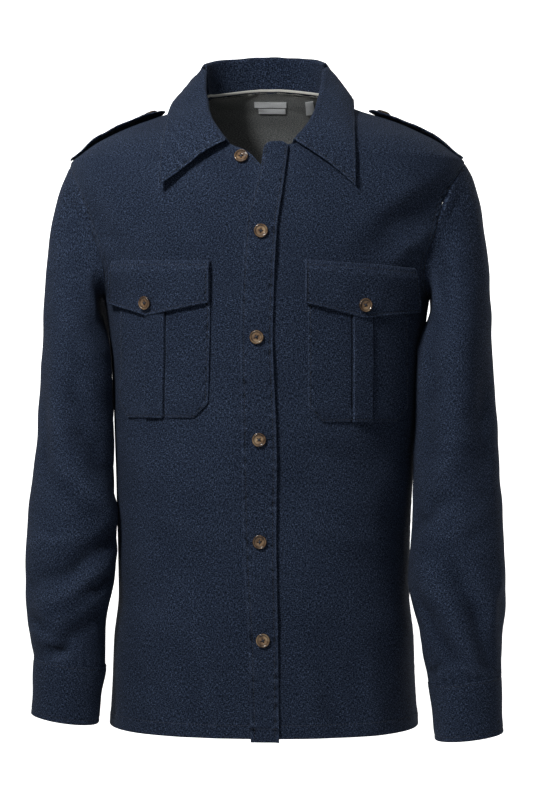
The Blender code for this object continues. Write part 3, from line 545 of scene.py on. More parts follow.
def add_stitches(group):
    """All stitches of a group as one mesh: each a small six-sided bead that dips at both ends."""
    first, last, up = (np.concatenate(parts) for parts in zip(*stitch_runs[group]))
    count = len(first)
    side = unit(np.cross(last - first, up))
    turns = np.arange(6) * np.pi / 3
    vertices = []
    for t, swell, lift in ((0.0, 0.45, -0.4), (0.25, 1.0, 0.35), (0.75, 1.0, 0.35), (1.0, 0.45, -0.4)):
        middle = first + (last - first) * t + up * STITCH_RADIUS * lift
        for turn in turns:
            vertices.append(middle + (side * math.cos(turn) + up * math.sin(turn)) * STITCH_RADIUS * swell)
    vertices = np.stack(vertices, 1)
    pattern = []
    for r in range(3):
        for k in range(6):
            j = (k + 1) % 6
            pattern.append((r * 6 + k, r * 6 + j, (r + 1) * 6 + j, (r + 1) * 6 + k))
    faces = (np.array(pattern)[None] + (np.arange(count) * 24)[:, None, None]).reshape(-1, 4)
    caps = [tuple(int(24 * n + k) for k in order) for n in range(count)
            for order in ((5, 4, 3, 2, 1, 0), (18, 19, 20, 21, 22, 23))]
    mesh = bpy.data.meshes.new(group)
    mesh.from_pydata(vertices.reshape(-1, 3).tolist(), [], faces.tolist() + caps)
    mesh.shade_smooth()
    mesh.materials.append(THREAD)
    made = add_object(group, mesh)
    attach(made, "root")


def line_at(grid, normals, distance, axis_places, along_rows):
    """A line of points inside a grid at a distance from one edge, by interpolation."""
    points = []
    faces = []
    for k in range(grid.shape[0 if along_rows else 1]):
        row = grid[k] if along_rows else grid[:, k]
        up = normals[k] if along_rows else normals[:, k]
        places = axis_places[k] if along_rows else axis_places[:, k]
        order = np.argsort(places)
        points.append([np.interp(distance, places[order], row[order, i]) for i in range(3)])
        faces.append([np.interp(distance, places[order], up[order, i]) for i in range(3)])
    return np.array(points), unit(np.array(faces))


def sew_at(group, grid, normals, distance, places, along_rows=True, kept=slice(None)):
    """Sew at a distance from one edge of a grid, over the kept part of that line."""
    line, up = line_at(grid, normals, distance, places, along_rows)
    sew(group, line[kept], up[kept])


# Materials

def shader_of(name):
    made = bpy.data.materials.new(name)
    made.use_nodes = True
    tree = made.node_tree
    return made, tree, tree.nodes["Principled BSDF"]


def set_inputs(shader, values):
    for name, value in values.items():
        shader.inputs[name].default_value = value


def node(tree, kind, **settings):
    made = tree.nodes.new(kind)
    for key, value in settings.items():
        setattr(made, key, value)
    return made


def ramp(tree, source, stops):
    made = node(tree, "ShaderNodeValToRGB")
    tree.links.new(source, made.inputs["Fac"])
    while len(made.color_ramp.elements) < len(stops):
        made.color_ramp.elements.new(0.5)
    for element, (place, colour) in zip(made.color_ramp.elements, stops):
        element.position = place
        element.color = (*colour, 1.0)
    return made.outputs["Color"]


def mix(tree, kind, share, first, second):
    made = node(tree, "ShaderNodeMix", data_type="RGBA", blend_type=kind)
    for socket, value in ((made.inputs[0], share), (made.inputs[6], first), (made.inputs[7], second)):
        if isinstance(value, bpy.types.NodeSocket):
            tree.links.new(value, socket)
        else:
            socket.default_value = value
    return made.outputs[2]


def streaks(tree, source, across, along, detail, seed):
    """Thread-like noise: across and along are the counts of streaks to a metre."""
    place = node(tree, "ShaderNodeMapping")
    set_inputs(place, {"Scale": (across, along, 1.0), "Location": (seed * 3.7, seed * 1.9, 0.0)})
    tree.links.new(source, place.inputs["Vector"])
    noise = node(tree, "ShaderNodeTexNoise")
    set_inputs(noise, {"Scale": 1.0, "Detail": detail, "Roughness": 0.6})
    tree.links.new(place.outputs["Vector"], noise.inputs["Vector"])
    return noise.outputs["Fac"]


def add_bump(tree, shader, height, strength, depth):
    bump = node(tree, "ShaderNodeBump")
    set_inputs(bump, {"Strength": strength, "Distance": depth})
    tree.links.new(height, bump.inputs["Height"])
    tree.links.new(bump.outputs["Normal"], shader.inputs["Normal"])


def grey(level):
    return (level, level, level)


def denim(name, dark, light, pale, weave=0.6, contrast=0.62):
    """Heathered denim: fine slubs both ways, a faint twill, slow changes of tone, paler ridges as wear,
    and darker hollows and seam troughs as painted shade.
    """
    made, tree, shader = shader_of(name)
    uv = node(tree, "ShaderNodeUVMap", uv_map="cloth").outputs["UV"]
    weft = streaks(tree, uv, 420.0, 1300.0, 2.0, 1.0)
    warp = streaks(tree, uv, 1400.0, 330.0, 2.0, 2.0)
    fleck = streaks(tree, uv, 900.0, 900.0, 1.0, 3.0)
    slow = streaks(tree, uv, 13.0, 9.0, 3.0, 4.0)
    threads = mix(tree, "MIX", 0.5, weft, warp)
    tone = ramp(tree, weft, ((0.40, dark), (0.50, light), (0.60, pale)))
    cross = ramp(tree, warp, ((0.40, grey(1 - contrast)), (0.60, grey(1 + contrast))))
    spots = ramp(tree, fleck, ((0.38, grey(1 - contrast)), (0.62, grey(1 + contrast))))
    faded = ramp(tree, slow, ((0.30, (0.84, 0.85, 0.87)), (0.70, (1.10, 1.10, 1.09))))
    # Painted shade: near black in troughs, hollows and under edges; the bright end pales the ridges as wear
    shade_and_wear = node(tree, "ShaderNodeAttribute", attribute_name="painted_shade_and_wear").outputs["Fac"]
    wear_and_painted_shade = ramp(tree, shade_and_wear, (
        (0.0, grey(0.10)), (0.40, grey(0.85)), (0.5, grey(1.0)), (1.0, (1.75, 1.70, 1.60))))
    for layer in (cross, spots, faded, wear_and_painted_shade):
        tone = mix(tree, "MULTIPLY", 1.0, tone, layer)
    tree.links.new(tone, shader.inputs["Base Color"])
    twill = node(tree, "ShaderNodeTexWave", wave_type="BANDS", bands_direction="DIAGONAL")
    set_inputs(twill, {"Scale": 700.0, "Distortion": 1.2, "Detail": 1.0})
    tree.links.new(uv, twill.inputs["Vector"])
    height = mix(tree, "MIX", 0.35, threads, twill.outputs["Color"])
    add_bump(tree, shader, height, weave, 0.0006)
    set_inputs(shader, {
        "Roughness": 0.92, "Specular IOR Level": 0.08, "Sheen Weight": 0.03, "Sheen Roughness": 0.5,
        "Sheen Tint": (0.55, 0.62, 0.75, 1.0)})
    return made


def horn():
    """Polished horn: tan and brown swirls under a clear surface, with painted shade at the rim and in the
    dish's groove.
    """
    made, tree, shader = shader_of("horn_polished")
    place = node(tree, "ShaderNodeTexCoord").outputs["Object"]
    swirl = node(tree, "ShaderNodeTexNoise")
    set_inputs(swirl, {"Scale": 70.0, "Detail": 3.0, "Distortion": 0.9})
    tree.links.new(place, swirl.inputs["Vector"])
    tone = ramp(tree, swirl.outputs["Fac"], (
        (0.30, (0.020, 0.013, 0.009)), (0.42, (0.085, 0.048, 0.026)),
        (0.55, (0.20, 0.125, 0.070)), (0.72, (0.36, 0.26, 0.155))))
    # Painted shade: darker at the rim's outer edge and in the groove round the dish, lighter on the face
    turned = node(tree, "ShaderNodeAttribute", attribute_name="painted_shade_and_wear").outputs["Fac"]
    shade = ramp(tree, turned, ((0.0, grey(0.12)), (1.0, grey(1.35))))
    tree.links.new(mix(tree, "MULTIPLY", 1.0, tone, shade), shader.inputs["Base Color"])
    set_inputs(shader, {"Roughness": 0.24, "Coat Weight": 0.5, "Coat Roughness": 0.12})
    return made


def plain_cloth(name, colour, threads_per_metre):
    made, tree, shader = shader_of(name)
    uv = node(tree, "ShaderNodeUVMap", uv_map="cloth").outputs["UV"]
    thread = streaks(tree, uv, threads_per_metre, threads_per_metre * 2, 2.0, 5.0)
    dim = tuple(0.72 * c for c in colour)
    tree.links.new(ramp(tree, thread, ((0.35, dim), (0.62, colour))), shader.inputs["Base Color"])
    add_bump(tree, shader, thread, 0.4, 0.0004)
    shader.inputs["Roughness"].default_value = 0.85
    return made


def thread_finish():
    made, tree, shader = shader_of("sewing_thread")
    place = node(tree, "ShaderNodeTexCoord").outputs["Object"]
    noise = node(tree, "ShaderNodeTexNoise")
    noise.inputs["Scale"].default_value = 900.0
    tree.links.new(place, noise.inputs["Vector"])
    tone = ramp(tree, noise.outputs["Fac"], ((0.4, (0.012, 0.016, 0.026)), (0.65, (0.040, 0.052, 0.078))))
    tree.links.new(tone, shader.inputs["Base Color"])
    shader.inputs["Roughness"].default_value = 0.6
    return made


DENIM = denim("denim_face", (0.0095, 0.0145, 0.030), (0.0195, 0.0290, 0.0545), (0.042, 0.058, 0.094))
INSIDE = denim("denim_inside", (0.10, 0.105, 0.105), (0.17, 0.177, 0.175), (0.28, 0.285, 0.275), 0.6, 0.25)
HORN = horn()
TAPE = plain_cloth("tape_cloth", (0.66, 0.65, 0.60), 900.0)
LABEL = plain_cloth("label_cloth_blank", (0.80, 0.82, 0.83), 1400.0)
THREAD = thread_finish()


# Panels

def levels():
    """Rows of the panels, finer at the hem, the armpit, the shoulder tip and the neck."""
    parts = (
        (HEM_Z, HEM_Z + 0.002, 4), (HEM_Z + 0.003, HEM_Z + 0.012, 4),
        (HEM_Z + 0.0135, HEM_Z + 0.0195, 9), (HEM_Z + 0.022, -0.234, 105), (-0.231, -0.2262, 4),
        (-0.225, -0.2195, 12), (-0.218, -0.190, 12), (-0.186, -0.086, 27), (-0.0845, -0.068, 12),
        (-0.0665, NECK_FRONT["z"][0], 7), (NECK_FRONT["z"][0] + 0.002, NECK_POINT_Z, 28))
    return np.concatenate([np.linspace(*part) for part in parts])


def neck_or_band_x(z, side):
    """The edge of a front nearest the middle, as a signed place across the body."""
    if z > NECK_FRONT["z"][0] - 1e-6:
        return side * float(curve(NECK_FRONT, "x", z))
    if side > 0:
        under_band = float(curve(BAND, "sewn", z)) - BAND_LAP
        return min(under_band, NECK_FRONT["x"][0] - 0.004)
    if z > UNDER_TOP["z"][0]:
        return float(curve(UNDER_TOP, "x", z))
    return float(curve(BAND, "sewn", z)) - BAND_LAP - 0.0012


def hem_relief(z, along, seed):
    """The turned hem: a second layer up to its stitched line, with puckers and a rounded edge."""
    rise = z - HEM_Z
    layer = 0.0005 * np.clip((HEM_TURN + 0.001 - rise) / 0.001, 0, 1)
    return layer + sewn_edge(rise, along, seed, stitch=HEM_STITCH, pucker=0.00040)


def at_armhole(heights):
    return (heights > ARMPIT_Z) & (heights < SHOULDER_TIP_Z)


def hem_row(heights):
    """The row of a panel where its hem is stitched."""
    return int(np.argmin(np.abs(heights - HEM_Z - HEM_STITCH)))


def panel_relief(base, heights, behind):
    """Seams of a panel: its hem, and the armhole and side seam at its sides."""
    ends = run_lengths(base, 1)
    line = run_lengths(base, 0)[0]
    arm_rows = at_armhole(heights)[:, None]
    relief = hem_relief(base[..., 2], ends[0], 11 + behind)
    for number in (0, 1) if behind else (1,):
        distance = ends[number]
        arm = sewn_edge(distance, line, 21 + number, stitch=ARM_STITCH, roll=0.0009, pucker=0.00030)
        arm = arm + 0.0003 * np.clip((ARM_STITCH + 0.001 - distance) / 0.001, 0, 1)
        plain = sewn_edge(distance, line, 31 + number, stitch=SIDE_STITCH, roll=0.0009, pucker=0.00022)
        relief = relief + np.where(arm_rows, arm, plain)
    return relief


def build_front(side):
    name = "front_left" if side > 0 else "front_right"
    heights = levels()
    shares = spaced(0.30, 0.0046, fine=0.0010, reach=0.009)
    angle = []
    for z in heights:
        start = side * float(angle_at_x(neck_or_band_x(z, side), z))
        angle.append(side * (start + (side_angle(z, False) - start) * shares))
    angle = np.array(angle)
    z = np.repeat(heights[:, None], len(shares), axis=1)
    base = lay(angle, z)
    near, far = run_lengths(base, 1)
    relief = panel_relief(base, heights, behind=False)
    if side < 0:
        free_top = ((heights > UNDER_TOP["z"][0]) & (heights < NECK_FRONT["z"][0]))[:, None]
        relief = relief + free_top * sewn_edge(near, run_lengths(base, 0)[0], 15, stitch=STAND_STITCH)
    normals = normal_of(body, angle, z)
    outer = base + normals * relief[..., None]
    made = add_sheet(name + "_cloth", outer, CLOTH, DENIM, INSIDE, flip=side < 0)
    cloth(name)
    arm = at_armhole(heights)
    sew_at("stitches_body", outer[arm], normals[arm], ARM_STITCH, far[arm])
    row = hem_row(heights)
    sew("stitches_body", outer[row], normals[row])
    below = heights < ARMPIT_Z - 0.004
    sew_at("stitches_body", outer[below], normals[below], SIDE_STITCH, far[below])
    if side < 0:
        top = (heights > UNDER_TOP["z"][0] + 0.010) & (heights < NECK_FRONT["z"][0])
        sew_at("stitches_body", outer[top], normals[top], STAND_STITCH, near[top])


def build_back():
    heights = np.concatenate((levels(), np.linspace(0.0095, NECK_BACK["z"][-1], 9)))
    shares = spaced(0.60, 0.0052, fine=0.0010, reach=0.009)
    angle = []
    for z in heights:
        if z > NECK_POINT_Z + 1e-6:
            end = float(angle_at_x(curve(NECK_BACK, "x", z), z, behind=True))
        else:
            end = side_angle(z, True)
        angle.append(2 * np.pi - end + (2 * end - 2 * np.pi) * shares)
    angle = np.array(angle)
    z = np.repeat(heights[:, None], len(shares), axis=1)
    base = lay(angle, z)
    relief = panel_relief(base, heights, behind=True)
    normals = normal_of(body, angle, z)
    outer = base + normals * relief[..., None]
    made = add_sheet("back_cloth", outer, CLOTH, DENIM, INSIDE, flip=True)
    cloth("back")
    row = hem_row(heights)
    sew("stitches_back", outer[row], normals[row])
    arm = at_armhole(heights)
    for distance in run_lengths(base, 1):
        sew_at("stitches_back", outer[arm], normals[arm], ARM_STITCH, distance[arm])


# Sleeves and cuffs

ARM_STEPS = 112


def turns():
    return np.arange(ARM_STEPS) * 2 * np.pi / ARM_STEPS


def armhole_loop():
    """The armhole of the wearer's left: top, down the front, bottom, up the back."""
    heights = np.array(ARMHOLE["z"])
    half = len(heights) - 1
    index = turns() / np.pi * half
    z = np.where(index <= half, np.interp(index, np.arange(half + 1), heights[::-1]),
                 np.interp(index - half, np.arange(half + 1), heights))
    y = np.where(index <= half, curve(ARMHOLE, "front_y", z), curve(ARMHOLE, "back_y", z))
    angle = angle_at_y(y, z)
    points = lay(angle, z)
    normals = normal_of(body, angle, z)
    tangents = unit(np.roll(points, -1, axis=0) - np.roll(points, 1, axis=0))
    return points, unit(np.cross(normals, tangents))


def clear_of_body(points, clearance, side):
    """Push points of an arm, made on the wearer's left, out of the torso's rings."""
    y, z = points[..., 1] - SIDE_Y, points[..., 2]
    lean = side * curve(LEAN, "x", z)
    x = points[..., 0] - lean
    width = curve(BODY, "half_width", z) + clearance
    depth = np.where(y < 0, curve(BODY, "front", z), curve(BODY, "back", z)) + clearance
    inside = (np.abs(x) / width) ** SQUARENESS + (np.abs(y) / depth) ** SQUARENESS
    grow = np.where(inside < 1, np.maximum(inside, 1e-6) ** (-1 / SQUARENESS), 1.0)
    return np.stack((x * grow + lean, y * grow + SIDE_Y, z), axis=-1)


def arm_ring(name, level, tilt):
    """One ring of a sleeve on the wearer's left, from its outer side round to the front."""
    outer = curve(ARM, name + "_outer", level)
    inner = curve(ARM, name + "_inner", level)
    x = (outer + inner) / 2 + (outer - inner) / 2 * np.cos(turns())
    y = curve(ARM, "middle_y", level) - curve(ARM, "half_y", level) * np.sin(turns())
    z = level + tilt * (x - (outer + inner) / 2)
    return np.stack((x, y, z), axis=-1)


def mirror(grid, side):
    return grid * np.array((side, 1.0, 1.0))


def build_sleeve(name):
    side = SIDES[name]
    cuff = CUFF[name]
    loop, outward = armhole_loop()
    target = arm_ring(name, ARM_TOP_Z, 0.0)
    topness = (1 + np.cos(turns()))[:, None] / 2
    aside = np.array((1.0, 0.0, 0.0))
    down = np.array((0.0, 0.0, -1.0))
    start = unit((0.4 + 0.6 * topness) * outward + (0.9 - 0.3 * topness) * aside
                 + 0.35 * (1 - topness) * down)
    chord = np.linalg.norm(target - loop, axis=-1, keepdims=True)
    start = start * chord * (0.8 - 0.2 * topness)
    rows = []
    for t in np.concatenate((np.linspace(0, 0.06, 8), np.linspace(0.075, 1, 44))):
        point = (loop * (2 * t**3 - 3 * t**2 + 1) + start * (t**3 - 2 * t**2 + t)
                 + target * (3 * t**2 - 2 * t**3) + down * 0.8 * chord * (t**3 - t**2))
        clearance = ARM_CLEARANCE * min(1.0, 10 * t)
        rows.append(loop + outward * SEAM if t == 0 else clear_of_body(point, clearance, side))
    drop = ARM_TOP_Z - cuff["top"]
    for t in spaced(drop, 0.0042)[1:]:
        level = ARM_TOP_Z - t * drop
        points = arm_ring(name, level, cuff["tilt"] * t**2)
        rows.append(clear_of_body(points, ARM_CLEARANCE, side))
    grid = np.array(rows)
    girth = 0.0009
    degrees = (np.degrees(turns()) + 180) % 360 - 180
    height = np.zeros(grid.shape[:2])
    for turn0, z0, turn1, z1, width, rise in SLEEVE_FOLDS[name]:
        ends = (turn0 * girth, z0, turn1 * girth, z1)
        height += crease(degrees[None, :] * girth, grid[..., 2], ends, width, rise)
    height += 0.0008 * ripple(degrees[None, :] * girth, grid[..., 2], 0.06, 7 if side > 0 else 8)
    from_loop, to_cuff = run_lengths(grid, 0)
    height *= np.clip(from_loop / 0.03, 0, 1) * np.clip(to_cuff / 0.018, 0, 1)
    around = np.cumsum(np.full(ARM_STEPS, 0.0028))[None, :] + np.zeros_like(height)
    height += 0.0005 * ripple(around, to_cuff * 0.35, 0.017, 9) * hump(to_cuff, 0.022)
    height += 0.0005 * ripple(around, from_loop * 0.5, 0.014, 10) * hump(from_loop, 0.014)
    fade = np.clip(from_loop / 0.004, 0, 1)
    outer = grid + grid_normals(grid, closed=True) * (height * fade)[..., None]
    kept_off = 0.6 * ARM_CLEARANCE * np.clip(from_loop / 0.02, 0, 1)
    outer[1:] = clear_of_body(outer[1:], kept_off[1:], side)
    outer = mirror(outer, side)
    made = add_sheet(f"sleeve_{name}_cloth", outer, CLOTH, DENIM, INSIDE, closed=True, flip=side < 0)
    cloth("sleeve_" + name)


def build_cuff(name):
    side = SIDES[name]
    cuff = CUFF[name]
    top = cuff["top"] - SEAM
    rows = []
    deep = top - cuff["bottom"]
    for t in spaced(deep, 0.004, fine=0.0008, reach=0.008):
        points = clear_of_body(arm_ring(name, top - t * deep, cuff["tilt"]), ARM_CLEARANCE, side)
        middle = points.mean(axis=0)
        spread = unit((points - middle) * np.array((1.0, 1.0, 0.0)))
        rows.append(points + spread * 0.0008)
    grid = np.array(rows)
    start, end = run_lengths(grid, 0)
    around = np.cumsum(np.full(ARM_STEPS, 0.0023))[None, :] + np.zeros(grid.shape[:2])
    relief = sewn_edge(start, around, 41, stitch=CUFF_TOP_STITCH)
    relief = relief + sewn_edge(end, around, 42, stitch=CUFF_END_STITCH)
    relief = relief + 0.0005 * ripple(around, start, 0.05, 43)
    lap = np.degrees(turns())
    over = np.clip(1 - np.abs(lap - 318) / 14, 0, 1) ** 0.35
    relief = relief + 0.0009 * over[None, :]
    normals = grid_normals(grid, closed=True)
    outer = mirror(grid + normals * relief[..., None], side)
    normals = mirror(normals, side)
    made = add_sheet(f"cuff_{name}_cloth", outer, TWO_PLY, DENIM, closed=True, flip=side < 0)
    cloth("cuff_" + name)
    for distance, place in ((CUFF_TOP_STITCH, start), (CUFF_END_STITCH, end)):
        line, up = line_at(outer, normals, distance, place, False)
        sew("stitches_trim", np.concatenate((line, line[:1])), np.concatenate((up, up[:1])))


# Collar

def collar_frames(count):
    """Even stations along the neck seam: seat, outward direction, and turn from the back."""
    front_z = np.linspace(NECK_FRONT["z"][0], NECK_FRONT["z"][-1], 60)
    back_z = np.linspace(NECK_BACK["z"][0], NECK_BACK["z"][-1], 40)[1:]
    angle = np.concatenate((angle_at_x(curve(NECK_FRONT, "x", front_z), front_z),
                            angle_at_x(curve(NECK_BACK, "x", back_z), back_z, behind=True), [np.pi]))
    z = np.concatenate((front_z, back_z, [BACK_NECK_Z]))
    points = ring(angle, z)
    normals = normal_of(ring, angle, z)
    points = np.concatenate((points, mirror(points[-2::-1], -1)))
    normals = np.concatenate((normals, mirror(normals[-2::-1], -1)))
    reach = np.concatenate(([0.0], np.cumsum(np.linalg.norm(np.diff(points, axis=0), axis=-1))))
    edge = spaced(reach[-1], 0.0045, fine=0.0010, reach=0.008) if count is None else count
    places = edge * reach[-1]
    points = np.stack([np.interp(places, reach, points[:, k]) for k in range(3)], -1)
    normals = unit(np.stack([np.interp(places, reach, normals[:, k]) for k in range(3)], -1))
    tangents = unit(np.gradient(points, places, axis=0))
    for _ in range(6):
        tangents[1:-1] = (tangents[:-2] + 2 * tangents[1:-1] + tangents[2:]) / 4
    flat = unit(tangents * np.array((1.0, 1.0, 0.0)))
    outward = np.stack((flat[:, 1], -flat[:, 0], np.zeros(len(flat))), axis=-1)
    inner_edge = unit(np.cross(normals, tangents))
    return points + normals * SEAM + inner_edge * SEAM, outward, np.abs(edge - 0.5) * 2


def build_collar():
    seat, outward, turn = collar_frames(None)
    sides = np.sign(seat[:, 0])
    ahead = np.clip((turn - 0.45) / 0.55, 0, 1)
    up = np.array((0.0, 0.0, 1.0))
    rise = curve(COLLAR, "rise", turn)[:, None]
    lean = curve(COLLAR, "lean", turn)[:, None]
    sway = np.array((COLLAR_SWAY, 0.0, 0.0))
    roll = seat + up * rise + outward * lean + sway * rise / COLLAR["rise"][0]
    width = np.where(np.abs(seat[:, 0]) < 1e-5, 0.0, 1.0)
    edge = np.stack((curve(COLLAR, "edge_x", turn) * sides * width, curve(COLLAR, "edge_y", turn),
                     curve(COLLAR, "edge_z", turn)), axis=-1)
    edge = edge + sway
    edge[:, 1] -= 0.004 * ahead * (sides < 0)
    start = roll + outward * ROLL_WIDTH
    away = unit(outward + up)
    rows = [seat + (roll - seat) * t for t in np.linspace(0, 0.9, 12)]
    for bend in np.linspace(0, 1, 12):
        arch = math.sin(math.pi * bend)
        rows.append(roll + outward * ROLL_WIDTH * bend + up * (ROLL_CROWN * arch ** 0.7))
    for t in spaced(0.06, 0.0030, fine=0.0009, reach=0.007)[1:]:
        bow = FALL_CROWN * 4 * t * (1 - t)
        curl = 0.0015 * (sides < 0) * ahead * math.sin(2.2 * math.pi * t)
        rows.append(start + (edge - start) * t + away * bow + away * curl[:, None])
    grid = np.array(rows)
    for _ in range(3):
        grid[13:24] = (grid[12:23] + 2 * grid[13:24] + grid[14:25]) / 4
    normals = -grid_normals(grid)
    to_edge = run_lengths(grid, 0)[1]
    first, last = run_lengths(grid, 1)
    relief = sewn_edge(to_edge, first, 51, stitch=COLLAR_STITCH)
    for number, distance in enumerate((first, last)):
        relief = relief + sewn_edge(distance, to_edge, 52 + number, stitch=COLLAR_STITCH)
    relief = relief + 0.0004 * ripple(first, to_edge, 0.035, 54)
    outer = grid + normals * relief[..., None]
    made = add_sheet("collar_cloth", outer, TWO_PLY, DENIM, flip=True)
    cloth("collar")
    keep = slice(14, None)
    sew_at("stitches_trim", outer, normals, COLLAR_STITCH, to_edge, False)
    for distance in (first, last):
        sew_at("stitches_trim", outer[keep], normals[keep], COLLAR_STITCH, distance[keep], kept=slice(-3))


# Band, pockets, flaps, tabs

def build_band():
    length = 0.668
    across = spaced(0.037, 0.0030, fine=0.0008, reach=0.0062)
    angle = []
    z = []
    for t in spaced(length, 0.0045, fine=0.0010, reach=0.006):
        top = BAND_TOP_Z - BAND_TOP_ROUNDING * (2 * across - 1) ** 4
        low = HEM_Z - BAND_DROP
        z.append(low + t * (top - low))
        x = curve(BAND, "free", z[-1]) * (1 - across) + curve(BAND, "sewn", z[-1]) * across
        angle.append(angle_at_x(x, z[-1]))
    angle, z = np.array(angle), np.array(z)
    base = lay(angle, z, np.full(z.shape, BAND_OUT))
    free, sewn = run_lengths(base, 1)
    low, high = run_lengths(base, 0)
    relief = sewn_edge(free, low, 61, stitch=BAND_STITCH, roll=0.0014)
    relief = relief + sewn_edge(sewn, low, 62, stitch=BAND_STITCH, roll=0.0014)
    relief = relief + sewn_edge(low, free, 63, stitch=0.0150) + sewn_edge(high, free, 64)
    wavy = ripple(low, free * 0.3, 0.055, 65)
    relief = relief + 0.0012 * hump(free, 0.010) * wavy
    relief = relief + 0.0032 * hump(sewn, 0.0032) * (0.75 + 0.5 * ripple(low, low * 0, 0.12, 66))
    for level in FRONT_BUTTON_Z:
        gap = z - level
        relief = relief + 0.0008 * hump(np.abs(gap) - 0.030, 0.016)
        relief = relief - 0.0005 * hump(gap, 0.008)
    normals = normal_of(body, angle, z)
    outer = base + normals * relief[..., None]
    made = add_sheet("front_band_cloth", outer, TWO_PLY, DENIM)
    cloth("front_band")
    for distance in (free, sewn):
        sew_at("stitches_trim", outer, normals, BAND_STITCH, distance)
    hem = int(np.argmin(np.abs(low[:, 0] - 0.0165)))
    sew("stitches_trim", outer[hem], normals[hem])


def build_pocket(name):
    side = SIDES[name]
    shape = POCKET[name]
    high = POCKET_TOP_Z - shape["low"]
    wide = shape["far"] - shape["near"]
    across = spaced(wide, 0.0030, fine=0.0009, reach=0.0065)
    for edge in ("fold_near", "fold_far"):
        middle = (shape[edge] - shape["near"]) / wide
        across = across[np.abs(across - middle) * wide > 0.0045]
        across = np.sort(np.append(across, middle + np.linspace(-0.0036, 0.0036, 13) / wide))
    angle = []
    z = []
    fold = []
    for t in spaced(high, 0.0040, fine=0.0009, reach=0.0065):
        cut = shape["chamfer"] * max(0.0, 1 - t * high / shape["chamfer"])
        near = shape["near"] + cut
        far = shape["far"] - cut * 0.75
        x = near + (far - near) * across
        level = np.full(len(x), shape["low"] + t * high)
        z.append(level)
        angle.append(side * angle_at_x(x, level))
        near_edge = np.clip((x - shape["fold_near"]) / 0.0010, 0, 1)
        far_edge = np.clip((shape["fold_far"] - x) / 0.0010, 0, 1)
        groove = hump(x - shape["fold_near"] + 0.0006, 0.0009)
        groove = groove + hump(x - shape["fold_far"] - 0.0006, 0.0009)
        fold.append(PLEAT_RISE * np.minimum(near_edge, far_edge) ** 0.7 - 0.0008 * groove)
    angle, z, fold = np.array(angle), np.array(z), np.array(fold)
    base = lay(angle, z, np.full(z.shape, POCKET_OUT))
    first, last = run_lengths(base, 1)
    low, top = run_lengths(base, 0)
    relief = fold + 0.0009 * np.sin(np.pi * np.clip(low / high, 0, 1)) ** 0.5
    for number, distance in enumerate((first, last, low)):
        relief = relief + sewn_edge(distance, low + first, 71 + number, stitch=POCKET_STITCH)
    relief = relief + 0.0005 * ripple(first, low, 0.045, 75 if side > 0 else 76)
    normals = normal_of(body, angle, z)
    outer = base + normals * relief[..., None]
    made = add_sheet(f"pocket_{name}_cloth", outer, 0.0021, DENIM, flip=side < 0)
    cloth("pocket_" + name)
    for distance in (first, last):
        sew_at("stitches_trim", outer, normals, POCKET_STITCH, distance)
    sew_at("stitches_trim", outer, normals, POCKET_STITCH, low, False)


def flap_place(name, u, v):
    """A place of a flap: u from the band side to the arm side, v from its point up to its seam."""
    shape = FLAP[name]
    middle = (shape["point"] - shape["near"]) / (shape["far_low"] - shape["near"])
    low = np.interp(u, (0.0, middle, 1.0), (shape["low_near"], shape["point_z"], shape["low_far"]))
    high = shape["top_near"] + (shape["top_far"] - shape["top_near"]) * u
    far = shape["far_low"] + (shape["far"] - shape["far_low"]) * v
    x = shape["near"] + (far - shape["near"]) * u
    return x, low + (high - low) * v


def build_flap(name):
    side = SIDES[name]
    u = spaced(0.14, 0.0030, fine=0.0009, reach=0.0070)
    v = spaced(0.058, 0.0030, fine=0.0009, reach=0.0080)
    uu, vv = np.meshgrid(u, v)
    x, z = flap_place(name, uu, vv)
    angle = side * angle_at_x(x, z)
    out = FLAP_OUT + FLAP_STAND * np.clip((1 - vv) / 0.18, 0, 1) ** 0.7
    base = lay(angle, z, out)
    first, last = run_lengths(base, 1)
    low, top = run_lengths(base, 0)
    relief = 0.0
    for number, distance in enumerate((first, last, low)):
        relief = relief + sewn_edge(distance, first + low, 81 + number, stitch=FLAP_STITCH, roll=0.0015)
    relief = relief + sewn_edge(top, first, 85, stitch=FLAP_SEAM_STITCH, roll=0.0015, pucker=0.0004)
    relief = relief + 0.0009 * ripple(first, low, 0.050, 86 if side > 0 else 87) * (1 - vv)
    nearest = np.minimum(low, np.minimum(first, last))
    relief = relief + 0.0007 * hump(nearest - 0.0016, 0.0011)
    normals = normal_of(body, angle, z)
    outer = base + normals * relief[..., None]
    made = add_sheet(f"flap_{name}_cloth", outer, TWO_PLY, DENIM, flip=side < 0)
    cloth("flap_" + name)
    for distance in (first, last):
        sew_at("stitches_trim", outer, normals, FLAP_STITCH, distance, kept=slice(6, -4))
    sew_at("stitches_trim", outer, normals, FLAP_STITCH, low, False)
    sew_at("stitches_trim", outer, normals, FLAP_SEAM_STITCH, top, False)


def tab_place(name, u, v, out):
    """A place over a shoulder tab: u from its root to its tip, v across from front to back."""
    shape = TAB[name]
    half = (TAB_ROOT_WIDTH + (TAB_TIP_WIDTH - TAB_ROOT_WIDTH) * u) / 2
    point = TAB_POINT * (1 - np.abs(v))
    x = TAB_ROOT_X + (shape["tip"] + TAB_POINT - TAB_ROOT_X) * u - point * u
    y = SIDE_Y - 0.004 + half * v
    flat = np.stack((x, y, shoulder_z(x, y)), axis=-1)
    step = 0.001
    slope_x = (shoulder_z(x + step, y) - shoulder_z(x - step, y)) / (2 * step)
    slope_y = (shoulder_z(x, y + step) - shoulder_z(x, y - step)) / (2 * step)
    normal = unit(np.stack((-slope_x, -slope_y, np.ones_like(x)), axis=-1))
    t = np.clip((TAB_LIFT_FROM_X - x) / TAB_LIFT_REACH, 0, 1)
    lift = shape["lift"] * (3 * t**2 - 2 * t**3) * (0.55 - 0.45 * v)
    side = SIDES[name]
    return mirror(flat + normal * (out + lift)[..., None], side)


